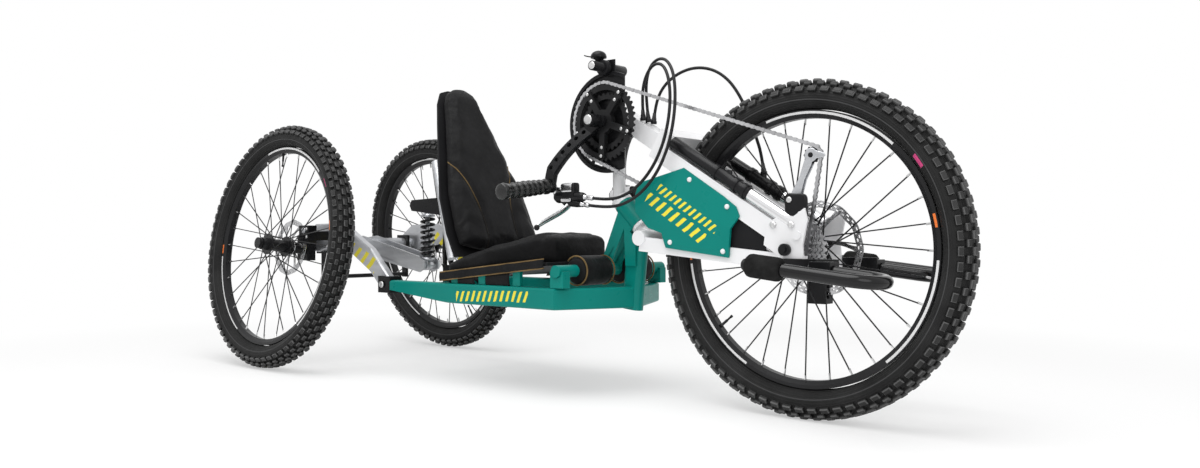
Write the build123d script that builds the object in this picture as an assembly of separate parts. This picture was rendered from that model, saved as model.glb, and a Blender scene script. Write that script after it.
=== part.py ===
# Off-road handcycle: two cambered wheels behind a low seat, one driven and steered wheel in front,
# turned by a hand crank above the rider's legs. Millimetres, X forward, Y left, Z up, floor at zero.
import math
import os

from build123d import *

os.makedirs("parts", exist_ok=True)

# Fits
SEAT_GAP = 0.3
RUN_GAP = 0.6
TYRE_ROOM = 10.0

# Stance
WHEELBASE = 1500.0
REAR_TRACK = 590.0
CAMBER_DEG = 8.0

# Wheels
TYRE_R = 343.0
TYRE_DEPTH = 61.0
CASING_HALF_W = 28.0
LUG_H = 9.0
LUG_CROWN_Y = 15.0
LUG_EDGE_Y = 30.0
LUG_PITCHES = 32
LUG_LEN = 25.0
RIM_DEPTH = 18.0
RIM_HALF_W = 13.0
RIM_INNER_HALF_W = 8.0
SPOKES = 32
SPOKE_W = 2.6
SPOKE_T = 1.6
SPOKE_LACE_DEG = 58.0
FLANGE_R = 29.0
FLANGE_T = 4.0
FLANGE_Y = 28.0
HUB_BARREL_R = 17.0
DISC_T = 2.0
FRONT_DISC_R = 100.0
REAR_DISC_R = 80.0
REAR_HUB_HALF = 48.0
STUB_R = 10.0

# Steering
STEER_LEAN_DEG = 45.0
STEERER_R = 18.0
HEAD_R = 25.0
HEAD_TOP = -32.0
HEAD_BOTTOM = 36.0

# Hand crank
CRANK_LEN = 182.0
CRANK_DEG = 235.0
CRANK_AXLE_R = 12.0
SHELL_R = 24.0
SHELL_HALF_W = 34.0
MAST_R = 15.0
RING_R = 92.0
RING_TEETH = 42
RING_T = 3.6
SMALL_RING_R = 68.0
SMALL_RING_TEETH = 30
CHAIN_Y = -52.0
CHAIN_W = 6.0
CHAIN_PLATE_T = 0.8
CHAIN_IN = 4.0
CHAIN_OUT = 4.0
GUARD_MARGIN = 26.0
GUARD_T = 3.0
GUARD_RIM_T = 8.0
BAR_R = 12.7
BAR_END_R = 11.1
BAR_END_LEN = 34.0
GRIP_R = 16.0
GRIP_LEN = 150.0
HOSE_R = 3.5

# Fork
STAY_IN = 60.0
STAY_OUT = 76.0
STAY_H = 38.0
LOWER_STAY_H = 32.0
YOKE_R = 17.0
PLATE_T = 5.0
PANEL_T = 7.0
AXLE_R = 6.0
STRUT_R = 16.0
STRUT_Y = 68.0
LEG_TUBE_R = 12.5
LEG_FOAM_R = 22.0
LEG_IN_Y = -104.0
LEG_OUT_Y = -200.0

# Frame
RAIL_W = 28.0
RAIL_BOTTOM = 203.0
RAIL_H = 49.0
RAIL_ROUND = 6.0
POST_HALF_LEN = 27.0
POST_HALF_W = 16.0
CROSS_R = 14.0
REAR_CROSS_R = 15.0
ARM_T = 20.0
AXLE_TUBE_R = 18.0
PIVOT_R = 6.0
SHOCK_PIN_R = 7.0
BACK_POST_Y = 44.0
BACK_POST_T = 8.0

# Seat
SEAT_REAR_X = -165.0
TRAY_T = 8.0
TRAY_RISE = 40.0
BACK_LEAN_DEG = 22.0
BACK_PAD_T = 50.0
SHELL_T = 6.0
EDGE_TUBE_R = 11.0

# Places that follow from the stance
FRONT_X = WHEELBASE / 2
REAR_X = -WHEELBASE / 2
AXLE_Z = TYRE_R
BEAD_R = TYRE_R - TYRE_DEPTH
RIM_INNER_R = BEAD_R - RIM_DEPTH
camber = math.radians(CAMBER_DEG)
REAR_HUB_Z = TYRE_R * math.cos(camber) + LUG_CROWN_Y * math.sin(camber)
YOKE_X = FRONT_X - TYRE_R - TYRE_ROOM - YOKE_R
YOKE_Z = AXLE_Z + 22
STEER_X = YOKE_X - 80
STEER_Z = YOKE_Z + 55
CRANK_X = STEER_X - 42
CRANK_Z = STEER_Z + 214
STAY_END_X = FRONT_X - 5
STAY_END_Z = AXLE_Z + 19
stay_drop = math.atan2(CRANK_Z + 3 - STAY_END_Z, STAY_END_X - CRANK_X - 34)
CROWN_S0 = TYRE_R + 2
CROWN_S1 = CROWN_S0 + 40
RAIL_TOP = RAIL_BOTTOM + RAIL_H
RAIL_REAR_X = SEAT_REAR_X - 200
POST_X = STEER_X
POST_TOP = STEER_Z - 75
RAIL_BEND_X = POST_X - 78
CROSS_X = POST_X - 65
CROSS_Z = RAIL_TOP + 38
TRAY_X1 = CROSS_X - 30
TRAY_Z0 = RAIL_TOP + 10
ARM_Y = REAR_TRACK / 2 - 120
RAIL_Y = ARM_Y + 5
TRAY_HALF_W = RAIL_Y + 10
ARM_IN = ARM_Y - ARM_T / 2
ARM_OUT = ARM_Y + ARM_T / 2
AXLE_TUBE_Z = REAR_HUB_Z + 2
PIVOT_X = RAIL_REAR_X - 32
PIVOT_Z = RAIL_TOP - 12
SHOCK_X = RAIL_REAR_X - 83
SHOCK_TOP_Z = RAIL_TOP + 202
SHOCK_LOW_Z = RAIL_TOP + 34
REAR_CROSS_X = SEAT_REAR_X - 135
REAR_CROSS_Z = RAIL_TOP - 22


def rod(a, b, r):
    d = Vector(*b) - Vector(*a)
    bar = Cylinder(r, d.length, align=(Align.CENTER, Align.CENTER, Align.MIN))
    return Plane(origin=a, z_dir=d) * bar


def box_bar(a, b, across_y, height):
    d = Vector(*b) - Vector(*a)
    bar = Box(across_y, height, d.length, align=(Align.CENTER, Align.CENTER, Align.MIN))
    return Plane(origin=a, x_dir=(0, 1, 0), z_dir=d) * bar


def block(x0, x1, y0, y1, z0, z1):
    return Pos(x0, y0, z0) * Box(x1 - x0, y1 - y0, z1 - z0, align=(Align.MIN, Align.MIN, Align.MIN))


def side_plate(points, y0, y1):
    face = make_face(Polyline(*[(x, y0, z) for x, z in points], close=True))
    return extrude(face, amount=y1 - y0, dir=(0, 1, 0))


def plan_plate(points, z0, z1):
    face = make_face(Polyline(*[(x, y, z0) for x, y in points], close=True))
    return extrude(face, amount=z1 - z0, dir=(0, 0, 1))


def shifted(points, x, z):
    return [(px + x, pz + z) for px, pz in points]


def turned(points):
    face = make_face(Polyline(*[(r, y, 0) for r, y in points], close=True))
    return revolve(face, Axis.Y, 360)


def disc_y(x, z, r, y0, y1):
    return rod((x, y0, z), (x, y1, z), r)


def belt(rounds, y0, y1):
    at = Plane(origin=(0, y1, 0), x_dir=(1, 0, 0), z_dir=(0, -1, 0))
    edges = [(Pos(x, z) * Circle(r)).edge() for x, z, r in rounds]
    return at * extrude(make_hull(edges), amount=y1 - y0)


def toothed(teeth, r, depth):
    points = []
    for i in range(teeth):
        for share, out in ((-0.40, r - depth), (-0.14, r), (0.14, r), (0.40, r - depth)):
            a = 2 * math.pi * (i + share) / teeth
            points.append((out * math.cos(a), out * math.sin(a)))
    return points


def flip(shape):
    return mirror(shape, Plane.XZ)


def both(shape):
    return Compound(children=list(Compound([shape]).solids()) + list(Compound([flip(shape)]).solids()))


def largest(shape):
    return max(shape.solids(), key=lambda s: s.volume)


def save(name, *shapes):
    solids = list(Compound(list(shapes)).solids())
    out = solids[0] if len(solids) == 1 else Compound(children=solids)
    export_step(out, "parts/" + name + ".step")


def steer_point(s):
    lean = math.radians(STEER_LEAN_DEG)
    return (STEER_X + s * math.sin(lean), 0, STEER_Z - s * math.cos(lean))


def stay_point(s, n=0.0, y=0.0):
    x = STAY_END_X - s * math.cos(stay_drop) + n * math.sin(stay_drop)
    z = STAY_END_Z + s * math.sin(stay_drop) + n * math.cos(stay_drop)
    return (x, y, z)


# Tyre: a flat-sided casing of equal pitches, with a lug left and right of the crown on each pitch
pitch = 2 * math.pi / LUG_PITCHES
casing_r = TYRE_R - LUG_H
CASING = [
    (BEAD_R, -RIM_HALF_W),
    (BEAD_R, RIM_HALF_W),
    (BEAD_R + 24, CASING_HALF_W),
    (casing_r, CASING_HALF_W - 9),
    (casing_r, 9 - CASING_HALF_W),
    (BEAD_R + 24, -CASING_HALF_W),
]
LUG = [
    (casing_r - 4, 2.0),
    (TYRE_R, 2.0),
    (TYRE_R, LUG_CROWN_Y),
    (TYRE_R - 12, LUG_EDGE_Y),
    (BEAD_R + 38, CASING_HALF_W - 5),
]


def section_at(points, angle, along):
    c, s = math.cos(angle), math.sin(angle)
    return [(r * c - along * s, y, r * s + along * c) for r, y in points]


def between(start, end):
    faces = [make_face(Polyline(*points, close=True)) for points in (start, end)]
    return loft(faces, ruled=True)


def tyre_ring():
    wedges = []
    for i in range(LUG_PITCHES):
        a = i * pitch - math.pi / 2
        wedges.append(between(section_at(CASING, a - pitch / 2, 0),
                              section_at(CASING, a + pitch / 2, 0)))
        for side, lead in ((-1, 0.0), (1, pitch / 2)):
            sided = [(r, side * y) for r, y in LUG]
            wedges.append(between(section_at(sided, a + lead, -LUG_LEN / 2),
                                  section_at(sided, a + lead, LUG_LEN / 2)))
    return wedges[0].fuse(*wedges[1:])


RIM_PROFILE = [
    (BEAD_R * math.cos(pitch / 2) - SEAT_GAP, -RIM_HALF_W),
    (BEAD_R * math.cos(pitch / 2) - SEAT_GAP, RIM_HALF_W),
    (RIM_INNER_R + RIM_DEPTH / 2, RIM_HALF_W),
    (RIM_INNER_R, RIM_INNER_HALF_W),
    (RIM_INNER_R, -RIM_INNER_HALF_W),
    (RIM_INNER_R + RIM_DEPTH / 2, -RIM_HALF_W),
]


def hub_with_spokes(bore, half):
    profile = [(bore, -half), (HUB_BARREL_R, -half)]
    for y in (-FLANGE_Y, FLANGE_Y):
        profile += [(HUB_BARREL_R, y - FLANGE_T / 2), (FLANGE_R, y - FLANGE_T / 2),
                    (FLANGE_R, y + FLANGE_T / 2), (HUB_BARREL_R, y + FLANGE_T / 2)]
    profile += [(HUB_BARREL_R, half), (bore, half)]
    blades = []
    for i in range(SPOKES):
        side = 1 if i % 2 else -1
        lead = 1 if i % 4 < 2 else -1
        a_rim = 2 * math.pi / SPOKES * i
        a_hub = a_rim + lead * math.radians(SPOKE_LACE_DEG)
        r_hub = FLANGE_R - 4
        r_rim = RIM_INNER_R - SEAT_GAP
        y_hub = side * (FLANGE_Y + lead * (FLANGE_T / 2 + 0.2))
        inner = (r_hub * math.cos(a_hub), y_hub, r_hub * math.sin(a_hub))
        outer = (r_rim * math.cos(a_rim), side * 3.0, r_rim * math.sin(a_rim))
        blades.append(box_bar(inner, outer, SPOKE_T, SPOKE_W))
    return turned(profile).fuse(*blades)


def brake_disc(r, y):
    waves = [(w * math.cos(a), w * math.sin(a))
             for w, a in ((r - 2.5 * (i % 2), math.pi * i / 18) for i in range(36))]
    inner = [((r - 15) * math.cos(math.pi * i / 12),
              (r - 15) * math.sin(math.pi * i / 12)) for i in range(24)]
    band = side_plate(waves, y - DISC_T / 2, y + DISC_T / 2) - side_plate(inner, y - DISC_T, y + DISC_T)
    arms = [disc_y(0, 0, HUB_BARREL_R + 9, y - DISC_T / 2, y + DISC_T / 2)]
    for i in range(6):
        arm = block(HUB_BARREL_R, r - 8, y - DISC_T / 2, y + DISC_T / 2, -5, 5)
        arms.append(Rot(0, 60 * i + 15, 0) * (Rot(0, -14, 0) * arm))
    return band.fuse(*arms) - disc_y(0, 0, HUB_BARREL_R + SEAT_GAP, y - 9, y + 9)


FRONT_HUB_HALF = STAY_IN - 4
FRONT_DISC_Y = STAY_IN - 8
REAR_DISC_Y = REAR_HUB_HALF - 4
tyre = tyre_ring()
rim = turned(RIM_PROFILE)
front_place = Pos(FRONT_X, 0, AXLE_Z)
rear_place = Pos(REAR_X, -REAR_TRACK / 2, REAR_HUB_Z) * Rot(-CAMBER_DEG, 0, 0)
rear_hub = hub_with_spokes(STUB_R + RUN_GAP, REAR_HUB_HALF)
rear_disc = brake_disc(REAR_DISC_R, REAR_DISC_Y)
save("tyre_front", front_place * tyre)
save("rim_front", front_place * rim)
save("hub_front", front_place * hub_with_spokes(AXLE_R + RUN_GAP, FRONT_HUB_HALF))
save("disc_front", front_place * brake_disc(FRONT_DISC_R, FRONT_DISC_Y))
for name, shape in (("tyre", tyre), ("rim", rim), ("hub", rear_hub), ("disc", rear_disc)):
    save(name + "_rear_right", rear_place * shape)
    save(name + "_rear_left", flip(rear_place * shape))

# Cassette on the right of the front hub, small cog outermost; the chain runs on the last but one
COGS = [
    {"r": 64.0, "teeth": 30},
    {"r": 55.0, "teeth": 26},
    {"r": 47.0, "teeth": 22},
    {"r": 39.0, "teeth": 18},
    {"r": 31.0, "teeth": 15},
    {"r": 25.0, "teeth": 12},
]
CHAIN_COG = 4
COG_PITCH = 4.4
COG_T = 2.0
cogs = []
for i, cog in enumerate(COGS):
    y = CHAIN_Y + COG_PITCH * (CHAIN_COG - i)
    cogs.append(side_plate(toothed(cog["teeth"], cog["r"], 5.0), y - COG_T / 2, y + COG_T / 2))
cog_in = CHAIN_Y + COG_PITCH * CHAIN_COG + COG_T / 2
cog_out = CHAIN_Y + COG_PITCH * (CHAIN_COG + 1 - len(COGS)) - COG_T / 2
cassette = disc_y(0, 0, HUB_BARREL_R + 3, cog_out, cog_in).fuse(*cogs)
cassette -= disc_y(0, 0, HUB_BARREL_R + SEAT_GAP, cog_out - 9, cog_in + 9)
save("cassette", front_place * cassette)

# Frame rails: rounded box tubes that bend in to the front post
half_w = RAIL_W / 2
rail_plan = [
    (RAIL_REAR_X, -RAIL_Y + half_w),
    (RAIL_REAR_X, -RAIL_Y - half_w),
    (RAIL_BEND_X + 8, -RAIL_Y - half_w),
    (POST_X + 20, -8),
    (POST_X - 10, -8),
    (RAIL_BEND_X - 8, -RAIL_Y + half_w),
]
POST_SLOPE = 16.0
post_foot = Vector(POST_X, 0, RAIL_BOTTOM - 4)
post_axis = Vector(POST_SLOPE, 0, POST_TOP - RAIL_BOTTOM + 4)


def post_shape(grow):
    plane = Plane(origin=post_foot, x_dir=(0, 1, 0), z_dir=post_axis)
    flat = POST_HALF_LEN - POST_HALF_W
    rounds = [(Pos(0, sign * flat) * Circle(POST_HALF_W + grow)).edge() for sign in (-1, 1)]
    return plane * extrude(make_hull(rounds), amount=post_axis.length)


rail = plan_plate(rail_plan, RAIL_BOTTOM, RAIL_TOP)
rail_ends = rail.faces().sort_by(Axis.Z)
rail = fillet(rail_ends[-1].edges() + rail_ends[0].edges(), RAIL_ROUND)
rear_taper = [(RAIL_REAR_X - 5, RAIL_BOTTOM - 5), (SEAT_REAR_X + 35, RAIL_BOTTOM - 5),
              (SEAT_REAR_X + 35, RAIL_BOTTOM), (RAIL_REAR_X - 5, RAIL_BOTTOM + 24)]
rail -= side_plate(rear_taper, -RAIL_Y - 40, -RAIL_Y + 40)
rail -= post_shape(SEAT_GAP)
save("side_rails", both(largest(rail)))

swing_room = rod(steer_point(HEAD_BOTTOM - 0.5), steer_point(130), HEAD_R + 6)
save("front_post", post_shape(0) - swing_room)

head = rod(steer_point(HEAD_TOP), steer_point(HEAD_BOTTOM), HEAD_R)
head -= rod(steer_point(HEAD_TOP - 5), steer_point(HEAD_BOTTOM + 5), STEERER_R + RUN_GAP)
save("head_tube", head)

# A-shaped head plates from the head tube to the cross tube and the post
a_plate = shifted([(-24, 10)], STEER_X, STEER_Z)
a_plate += shifted([(-13, 15), (-13, -5), (15, -5), (17, 15)], CROSS_X, CROSS_Z)
a_plate += shifted([(-8, -34)], STEER_X, STEER_Z)
a_plate += shifted([(-4, 10), (26, 10)], POST_X, CROSS_Z)
a_plate += shifted([(26, -28), (14, -16)], STEER_X, STEER_Z)
plate_in = POST_HALF_W + SEAT_GAP
plate_out = plate_in + 6
head_plate = side_plate(a_plate, -plate_out, -plate_in)
head_plate -= rod(steer_point(-80), steer_point(80), HEAD_R + SEAT_GAP)
head_plate -= disc_y(CROSS_X, CROSS_Z, CROSS_R + SEAT_GAP, -plate_out - 9, 0)
head_plate -= swing_room
save("head_plates", both(largest(head_plate)))

rear_cross_end = RAIL_Y - half_w - SEAT_GAP
save("frame_cross_tubes", disc_y(CROSS_X, CROSS_Z, CROSS_R, -RAIL_Y - half_w, RAIL_Y + half_w),
     disc_y(REAR_CROSS_X, REAR_CROSS_Z, REAR_CROSS_R, -rear_cross_end, rear_cross_end))


# Seat tray slopes up to the front, on tabs that stand on the rails
def tray_z(x):
    return TRAY_Z0 + TRAY_RISE * (x - SEAT_REAR_X) / (TRAY_X1 - SEAT_REAR_X)


TAB_SHARES = [0.10, 0.37, 0.69]
TAB_LEN = 24.0
tabs = []
for share in TAB_SHARES:
    x = SEAT_REAR_X + share * (TRAY_X1 - SEAT_REAR_X)
    under = [(x, RAIL_TOP + SEAT_GAP), (x + TAB_LEN, RAIL_TOP + SEAT_GAP),
             (x + TAB_LEN, tray_z(x + TAB_LEN) - SEAT_GAP), (x, tray_z(x) - SEAT_GAP)]
    tabs.append(side_plate(under, -RAIL_Y - 5, -RAIL_Y + 5))
cradle = block(CROSS_X - 20, CROSS_X + 20, -RAIL_Y - 10, -RAIL_Y + 14, RAIL_TOP + SEAT_GAP, CROSS_Z)
cradle -= disc_y(CROSS_X, CROSS_Z, CROSS_R + SEAT_GAP, -RAIL_Y - 40, 0)
save("seat_tabs", both(Compound(children=tabs + [cradle])))

tray_side = [(SEAT_REAR_X, 0), (TRAY_X1, TRAY_RISE), (TRAY_X1, TRAY_RISE + TRAY_T),
             (SEAT_REAR_X, TRAY_T)]
save("seat_tray", side_plate(shifted(tray_side, 0, TRAY_Z0), -TRAY_HALF_W, TRAY_HALF_W))

# Base cushion: a wedge that narrows to the thigh block at the front
lift = TRAY_T + SEAT_GAP
seat_half = TRAY_HALF_W - 4
pad_x0 = SEAT_REAR_X + 1
pad_x1 = TRAY_X1 - 55
pad_x_mid = (pad_x0 + pad_x1) / 2
cushion_side = [(pad_x0, tray_z(pad_x0) + lift), (pad_x1, tray_z(pad_x1) + lift),
                (pad_x1 + 2, RAIL_TOP + 108),
                (pad_x1 - 14, RAIL_TOP + 124), (pad_x1 - 54, RAIL_TOP + 126),
                (pad_x0 + 8, RAIL_TOP + 56),
                (pad_x0, RAIL_TOP + 48)]
pad_plan = [(pad_x0, seat_half), (pad_x_mid - 10, seat_half), (pad_x1 - 60, seat_half - 66),
            (pad_x1 + 10, seat_half - 92)]
pad_outline = [(x, -y) for x, y in pad_plan] + list(reversed(pad_plan))
cushion = side_plate(cushion_side, -seat_half - 9, seat_half + 9)
cushion = cushion & plan_plate(pad_outline, RAIL_BOTTOM, RAIL_TOP + 200)
save("seat_cushion", cushion)

ROLL_R = 35.0
leg_roll = disc_y(CROSS_X, CROSS_Z, ROLL_R, -RAIL_Y + 52, -plate_out - SEAT_GAP)
leg_roll -= disc_y(CROSS_X, CROSS_Z, CROSS_R + SEAT_GAP, -RAIL_Y, 0)
leg_roll -= block(CROSS_X - 60, TRAY_X1 + 1, -RAIL_Y, 0, CROSS_Z - 60, CROSS_Z + 60)
save("leg_roll", both(leg_roll))

# Backrest: cushion on a thin shell, leaning back, with a tube behind each edge
lean = math.radians(BACK_LEAN_DEG)
back_plane = Plane(origin=(SEAT_REAR_X + 52, 0, RAIL_TOP + 78), x_dir=(0, -1, 0),
                   z_dir=(-math.cos(lean), 0, -math.sin(lean)))
BACK_OUTLINE = [
    {"up": 0, "half": seat_half - 38},
    {"up": 70, "half": seat_half - 31},
    {"up": 170, "half": seat_half - 39},
    {"up": 280, "half": seat_half - 69},
    {"up": 380, "half": seat_half - 97},
    {"up": 450, "half": seat_half - 118},
    {"up": 485, "half": seat_half - 138},
    {"up": 500, "half": seat_half - 166},
]


def back_face(shrink, depth):
    top = BACK_OUTLINE[-1]["up"] - shrink
    right = [(row["half"] - shrink, min(max(row["up"], shrink), top)) for row in BACK_OUTLINE]
    outline = right + [(-w, h) for w, h in reversed(right)]
    return back_plane.offset(depth) * make_face(Polyline(*[(w, h, 0) for w, h in outline], close=True))


def behind(h, w, depth):
    point = back_plane.from_local_coords(Vector(w, h, BACK_PAD_T + SEAT_GAP + SHELL_T + depth))
    return (point.X, point.Y, point.Z)


save("backrest_cushion", extrude(back_face(0, 0), amount=BACK_PAD_T, dir=back_plane.z_dir))
save("backrest_shell", extrude(back_face(6, BACK_PAD_T + SEAT_GAP), amount=SHELL_T,
                               dir=back_plane.z_dir))
edge_depth = EDGE_TUBE_R + SEAT_GAP
edge_tube = rod(behind(6, seat_half - 46, edge_depth), behind(280, seat_half - 77, edge_depth),
                EDGE_TUBE_R)
save("backrest_edge_tubes", both(edge_tube))


# Rear frame: slotted back posts with the shock's upper pin, and brackets for the swing arms
def shell_back_x(z):
    low = behind(0, 0, SEAT_GAP)
    return low[0] - (z - low[2]) * math.tan(lean)


post_front_x = REAR_CROSS_X + 16
post_back_x = REAR_CROSS_X - 20
shell_foot_z = behind(0, 0, SEAT_GAP)[2]
touch_z = shell_foot_z + (shell_back_x(shell_foot_z) - post_front_x) / math.tan(lean)
post_top_z = touch_z + 40
back_post = [(post_back_x, REAR_CROSS_Z - 20), (post_front_x, REAR_CROSS_Z - 20),
             (post_front_x, touch_z),
             (shell_back_x(post_top_z), post_top_z), (post_back_x, post_top_z),
             (post_back_x, SHOCK_TOP_Z + 20)]
shock_boss = shifted([(-8, 15), (-16, 0), (-8, -15)], SHOCK_X, SHOCK_TOP_Z)
back_post += shock_boss + [(post_back_x, SHOCK_TOP_Z - 30)]
back_post_out = BACK_POST_Y + BACK_POST_T
back_posts = side_plate(back_post, -back_post_out, -BACK_POST_Y)
for z in (38.0, 98.0, 258.0):
    back_posts -= block(REAR_CROSS_X - 10, REAR_CROSS_X + 6, -back_post_out - 9, 0, RAIL_TOP + z,
                        RAIL_TOP + z + 42)
back_posts -= disc_y(REAR_CROSS_X, REAR_CROSS_Z, REAR_CROSS_R + SEAT_GAP, -back_post_out - 9, 0)
shock_pin = disc_y(SHOCK_X, SHOCK_TOP_Z, SHOCK_PIN_R, -back_post_out, back_post_out)
save("back_posts", back_posts.fuse(flip(back_posts), shock_pin))

bracket = block(PIVOT_X - 20, RAIL_REAR_X - SEAT_GAP, -ARM_OUT - 8, -ARM_IN + 8, PIVOT_Z - 22,
                PIVOT_Z + 22)
bracket -= block(PIVOT_X - 30, RAIL_REAR_X - 9, -ARM_OUT - SEAT_GAP, -ARM_IN + SEAT_GAP, PIVOT_Z - 40,
                 PIVOT_Z + 40)
bracket = bracket.fuse(disc_y(PIVOT_X, PIVOT_Z, PIVOT_R, -ARM_OUT - 12, -ARM_IN + 8))
save("rear_pivot_brackets", both(bracket))

ARM_EDGE = 3.0
arm_side = shifted([(18, -16), (18, 16), (-69, 95)], PIVOT_X, PIVOT_Z)
arm_side += shifted([(150, 61), (20, 59), (-26, 29), (-28, -17), (30, -21), (150, 2)], REAR_X,
                    AXLE_TUBE_Z)
arm_side += shifted([(-69, 32), (-14, -18)], PIVOT_X, PIVOT_Z)
swing = side_plate(arm_side, -ARM_OUT, -ARM_IN)
swing = chamfer(swing.faces().sort_by(Axis.Y)[0].edges(), ARM_EDGE)
swing -= disc_y(PIVOT_X, PIVOT_Z, PIVOT_R + SEAT_GAP, -ARM_OUT - 9, 0)
swing -= disc_y(REAR_X, AXLE_TUBE_Z, AXLE_TUBE_R + SEAT_GAP, -ARM_OUT - 9, 0)
save("swing_arms", both(swing))
save("rear_axle_tube", disc_y(REAR_X, AXLE_TUBE_Z, AXLE_TUBE_R, -ARM_OUT - 2, ARM_OUT + 2))

hang_out = ARM_IN - 15
hang_in = hang_out - 8
hanger = block(REAR_X - 27, REAR_X + 27, -hang_out, -hang_in, AXLE_TUBE_Z - 27, AXLE_TUBE_Z + 27)
hanger = hanger.fuse(block(REAR_X - 2, REAR_X + 20, -hang_out, -hang_in, AXLE_TUBE_Z - 105,
                           AXLE_TUBE_Z - 25))
hanger -= disc_y(REAR_X, AXLE_TUBE_Z, AXLE_TUBE_R + SEAT_GAP, -hang_out - 9, 0)
tie = disc_y(REAR_X + 9, AXLE_TUBE_Z - 96, 6.0, -hang_out, hang_out)
save("tie_bar", hanger.fuse(flip(hanger), tie))

YOKE_PLATE_OUT = 28.0
YOKE_PLATE_IN = 22.0
yoke_side = shifted([(-26, 19), (-26, -21)], REAR_X, AXLE_TUBE_Z)
yoke_side += shifted([(-4, -20), (18, -10), (18, 12), (-2, 24)], SHOCK_X, SHOCK_LOW_Z)
yoke_side += shifted([(30, 25)], REAR_X, AXLE_TUBE_Z)
shock_yoke = side_plate(yoke_side, -YOKE_PLATE_OUT, -YOKE_PLATE_IN)
shock_yoke -= disc_y(REAR_X, AXLE_TUBE_Z, AXLE_TUBE_R + SEAT_GAP, -YOKE_PLATE_OUT - 9, 0)
low_pin = disc_y(SHOCK_X, SHOCK_LOW_Z, SHOCK_PIN_R, -YOKE_PLATE_OUT, YOKE_PLATE_OUT)
save("shock_yoke", shock_yoke.fuse(flip(shock_yoke), low_pin))

SHOCK_STEPS = [
    {"from": 10, "to": 60, "r": 19.0},
    {"from": 58, "to": 66, "r": 22.0},
    {"from": 64, "to": 104, "r": 19.0},
    {"from": 102, "to": 110, "r": 22.0},
    {"from": 108, "to": 158, "r": 9.0},
]
shock = disc_y(SHOCK_X, SHOCK_LOW_Z, 15, -12, 12).fuse(disc_y(SHOCK_X, SHOCK_TOP_Z, 15, -12, 12))
for step in SHOCK_STEPS:
    shock = shock.fuse(rod((SHOCK_X, 0, SHOCK_LOW_Z + step["from"]),
                           (SHOCK_X, 0, SHOCK_LOW_Z + step["to"]), step["r"]))
for z in (SHOCK_LOW_Z, SHOCK_TOP_Z):
    shock -= disc_y(SHOCK_X, z, SHOCK_PIN_R + SEAT_GAP, -50, 50)
save("rear_shock", shock)

# Knuckles and stub axles lean with the wheels, calipers straddle the discs
STUB_COLLAR_R = 15.0
stub_in = REAR_HUB_HALF + 44
stub_out = REAR_HUB_HALF + 12
stub = rod((0, -stub_out, 0), (0, stub_in, 0), STUB_R)
stub = stub.fuse(rod((0, REAR_HUB_HALF + RUN_GAP, 0), (0, stub_in, 0), STUB_COLLAR_R),
                 rod((0, -stub_out, 0), (0, -REAR_HUB_HALF - RUN_GAP, 0), STUB_COLLAR_R))
knuckle = block(REAR_X - 26, REAR_X + 26, 81 - REAR_TRACK / 2, -ARM_OUT - 2 - SEAT_GAP, REAR_HUB_Z - 44,
                REAR_HUB_Z + 28)
save("stub_axles", both(knuckle.fuse(rear_place * stub)))

caliper = block(REAR_X + 58, REAR_X + 106, 34 - REAR_TRACK / 2, 61 - REAR_TRACK / 2, REAR_HUB_Z + 6,
                REAR_HUB_Z + 56)
caliper -= rear_place * disc_y(0, 0, REAR_DISC_R + 4, REAR_DISC_Y - 4, REAR_DISC_Y + 4)
caliper = caliper.fuse(block(REAR_X + 86, REAR_X + 104, 59 - REAR_TRACK / 2, -ARM_OUT - SEAT_GAP,
                             REAR_HUB_Z + 14, REAR_HUB_Z + 40))
save("rear_calipers", both(caliper))

# Steerer, with the mast that carries the crank shell above it and the cross tube below it
mast_foot = steer_point(HEAD_TOP - 24)
steerer = rod(steer_point(HEAD_TOP - 18), steer_point(HEAD_BOTTOM + 8), STEERER_R)
steerer = steerer.fuse(rod(steer_point(HEAD_TOP - 18), steer_point(HEAD_TOP - RUN_GAP), HEAD_R - 1),
                       rod(steer_point(HEAD_BOTTOM + RUN_GAP), steer_point(HEAD_BOTTOM + 8), HEAD_R - 1),
                       rod(steer_point(HEAD_BOTTOM + 4), steer_point(80), STEERER_R - 4),
                       rod(steer_point(74), (YOKE_X, 0, YOKE_Z), STEERER_R - 5),
                       rod(mast_foot, (CRANK_X, 0, CRANK_Z - 8), MAST_R),
                       disc_y(CRANK_X, CRANK_Z, SHELL_R, -SHELL_HALF_W, SHELL_HALF_W))
steerer -= disc_y(CRANK_X, CRANK_Z, CRANK_AXLE_R + RUN_GAP, -SHELL_HALF_W - 9, SHELL_HALF_W + 9)
steerer -= disc_y(YOKE_X, YOKE_Z, YOKE_R + SEAT_GAP, -60, 60)
save("steerer_mast", largest(steerer))

# Upper stays: one tube down from the crank, a crown behind the tyre, two stays to the axle
TOP_TUBE_W = 42.0
TOP_TUBE_H = 40.0
CROWN_RISE = 50.0
stay_y = (STAY_IN + STAY_OUT) / 2
stay_w = STAY_OUT - STAY_IN
crank_s = (STAY_END_X - CRANK_X) * math.cos(stay_drop) + (CRANK_Z - STAY_END_Z) * math.sin(stay_drop)
upper = box_bar(stay_point(CROWN_S1 - 5), stay_point(crank_s - 20), TOP_TUBE_W, TOP_TUBE_H)
crown_mid = (CROWN_RISE - STAY_H / 2) / 2
upper = upper.fuse(box_bar(stay_point(CROWN_S0, crown_mid), stay_point(CROWN_S1, crown_mid),
                           2 * STAY_OUT,
                           CROWN_RISE + STAY_H / 2))
for y in (-stay_y, stay_y):
    upper = upper.fuse(box_bar(stay_point(10, 0, y), stay_point(CROWN_S0 + 5, 0, y), stay_w, STAY_H))
upper -= disc_y(CRANK_X, CRANK_Z, SHELL_R + SEAT_GAP, -90, 90)
upper -= rod(mast_foot, (CRANK_X, 0, CRANK_Z - 8), MAST_R + SEAT_GAP)
save("upper_stays", largest(upper))

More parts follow.
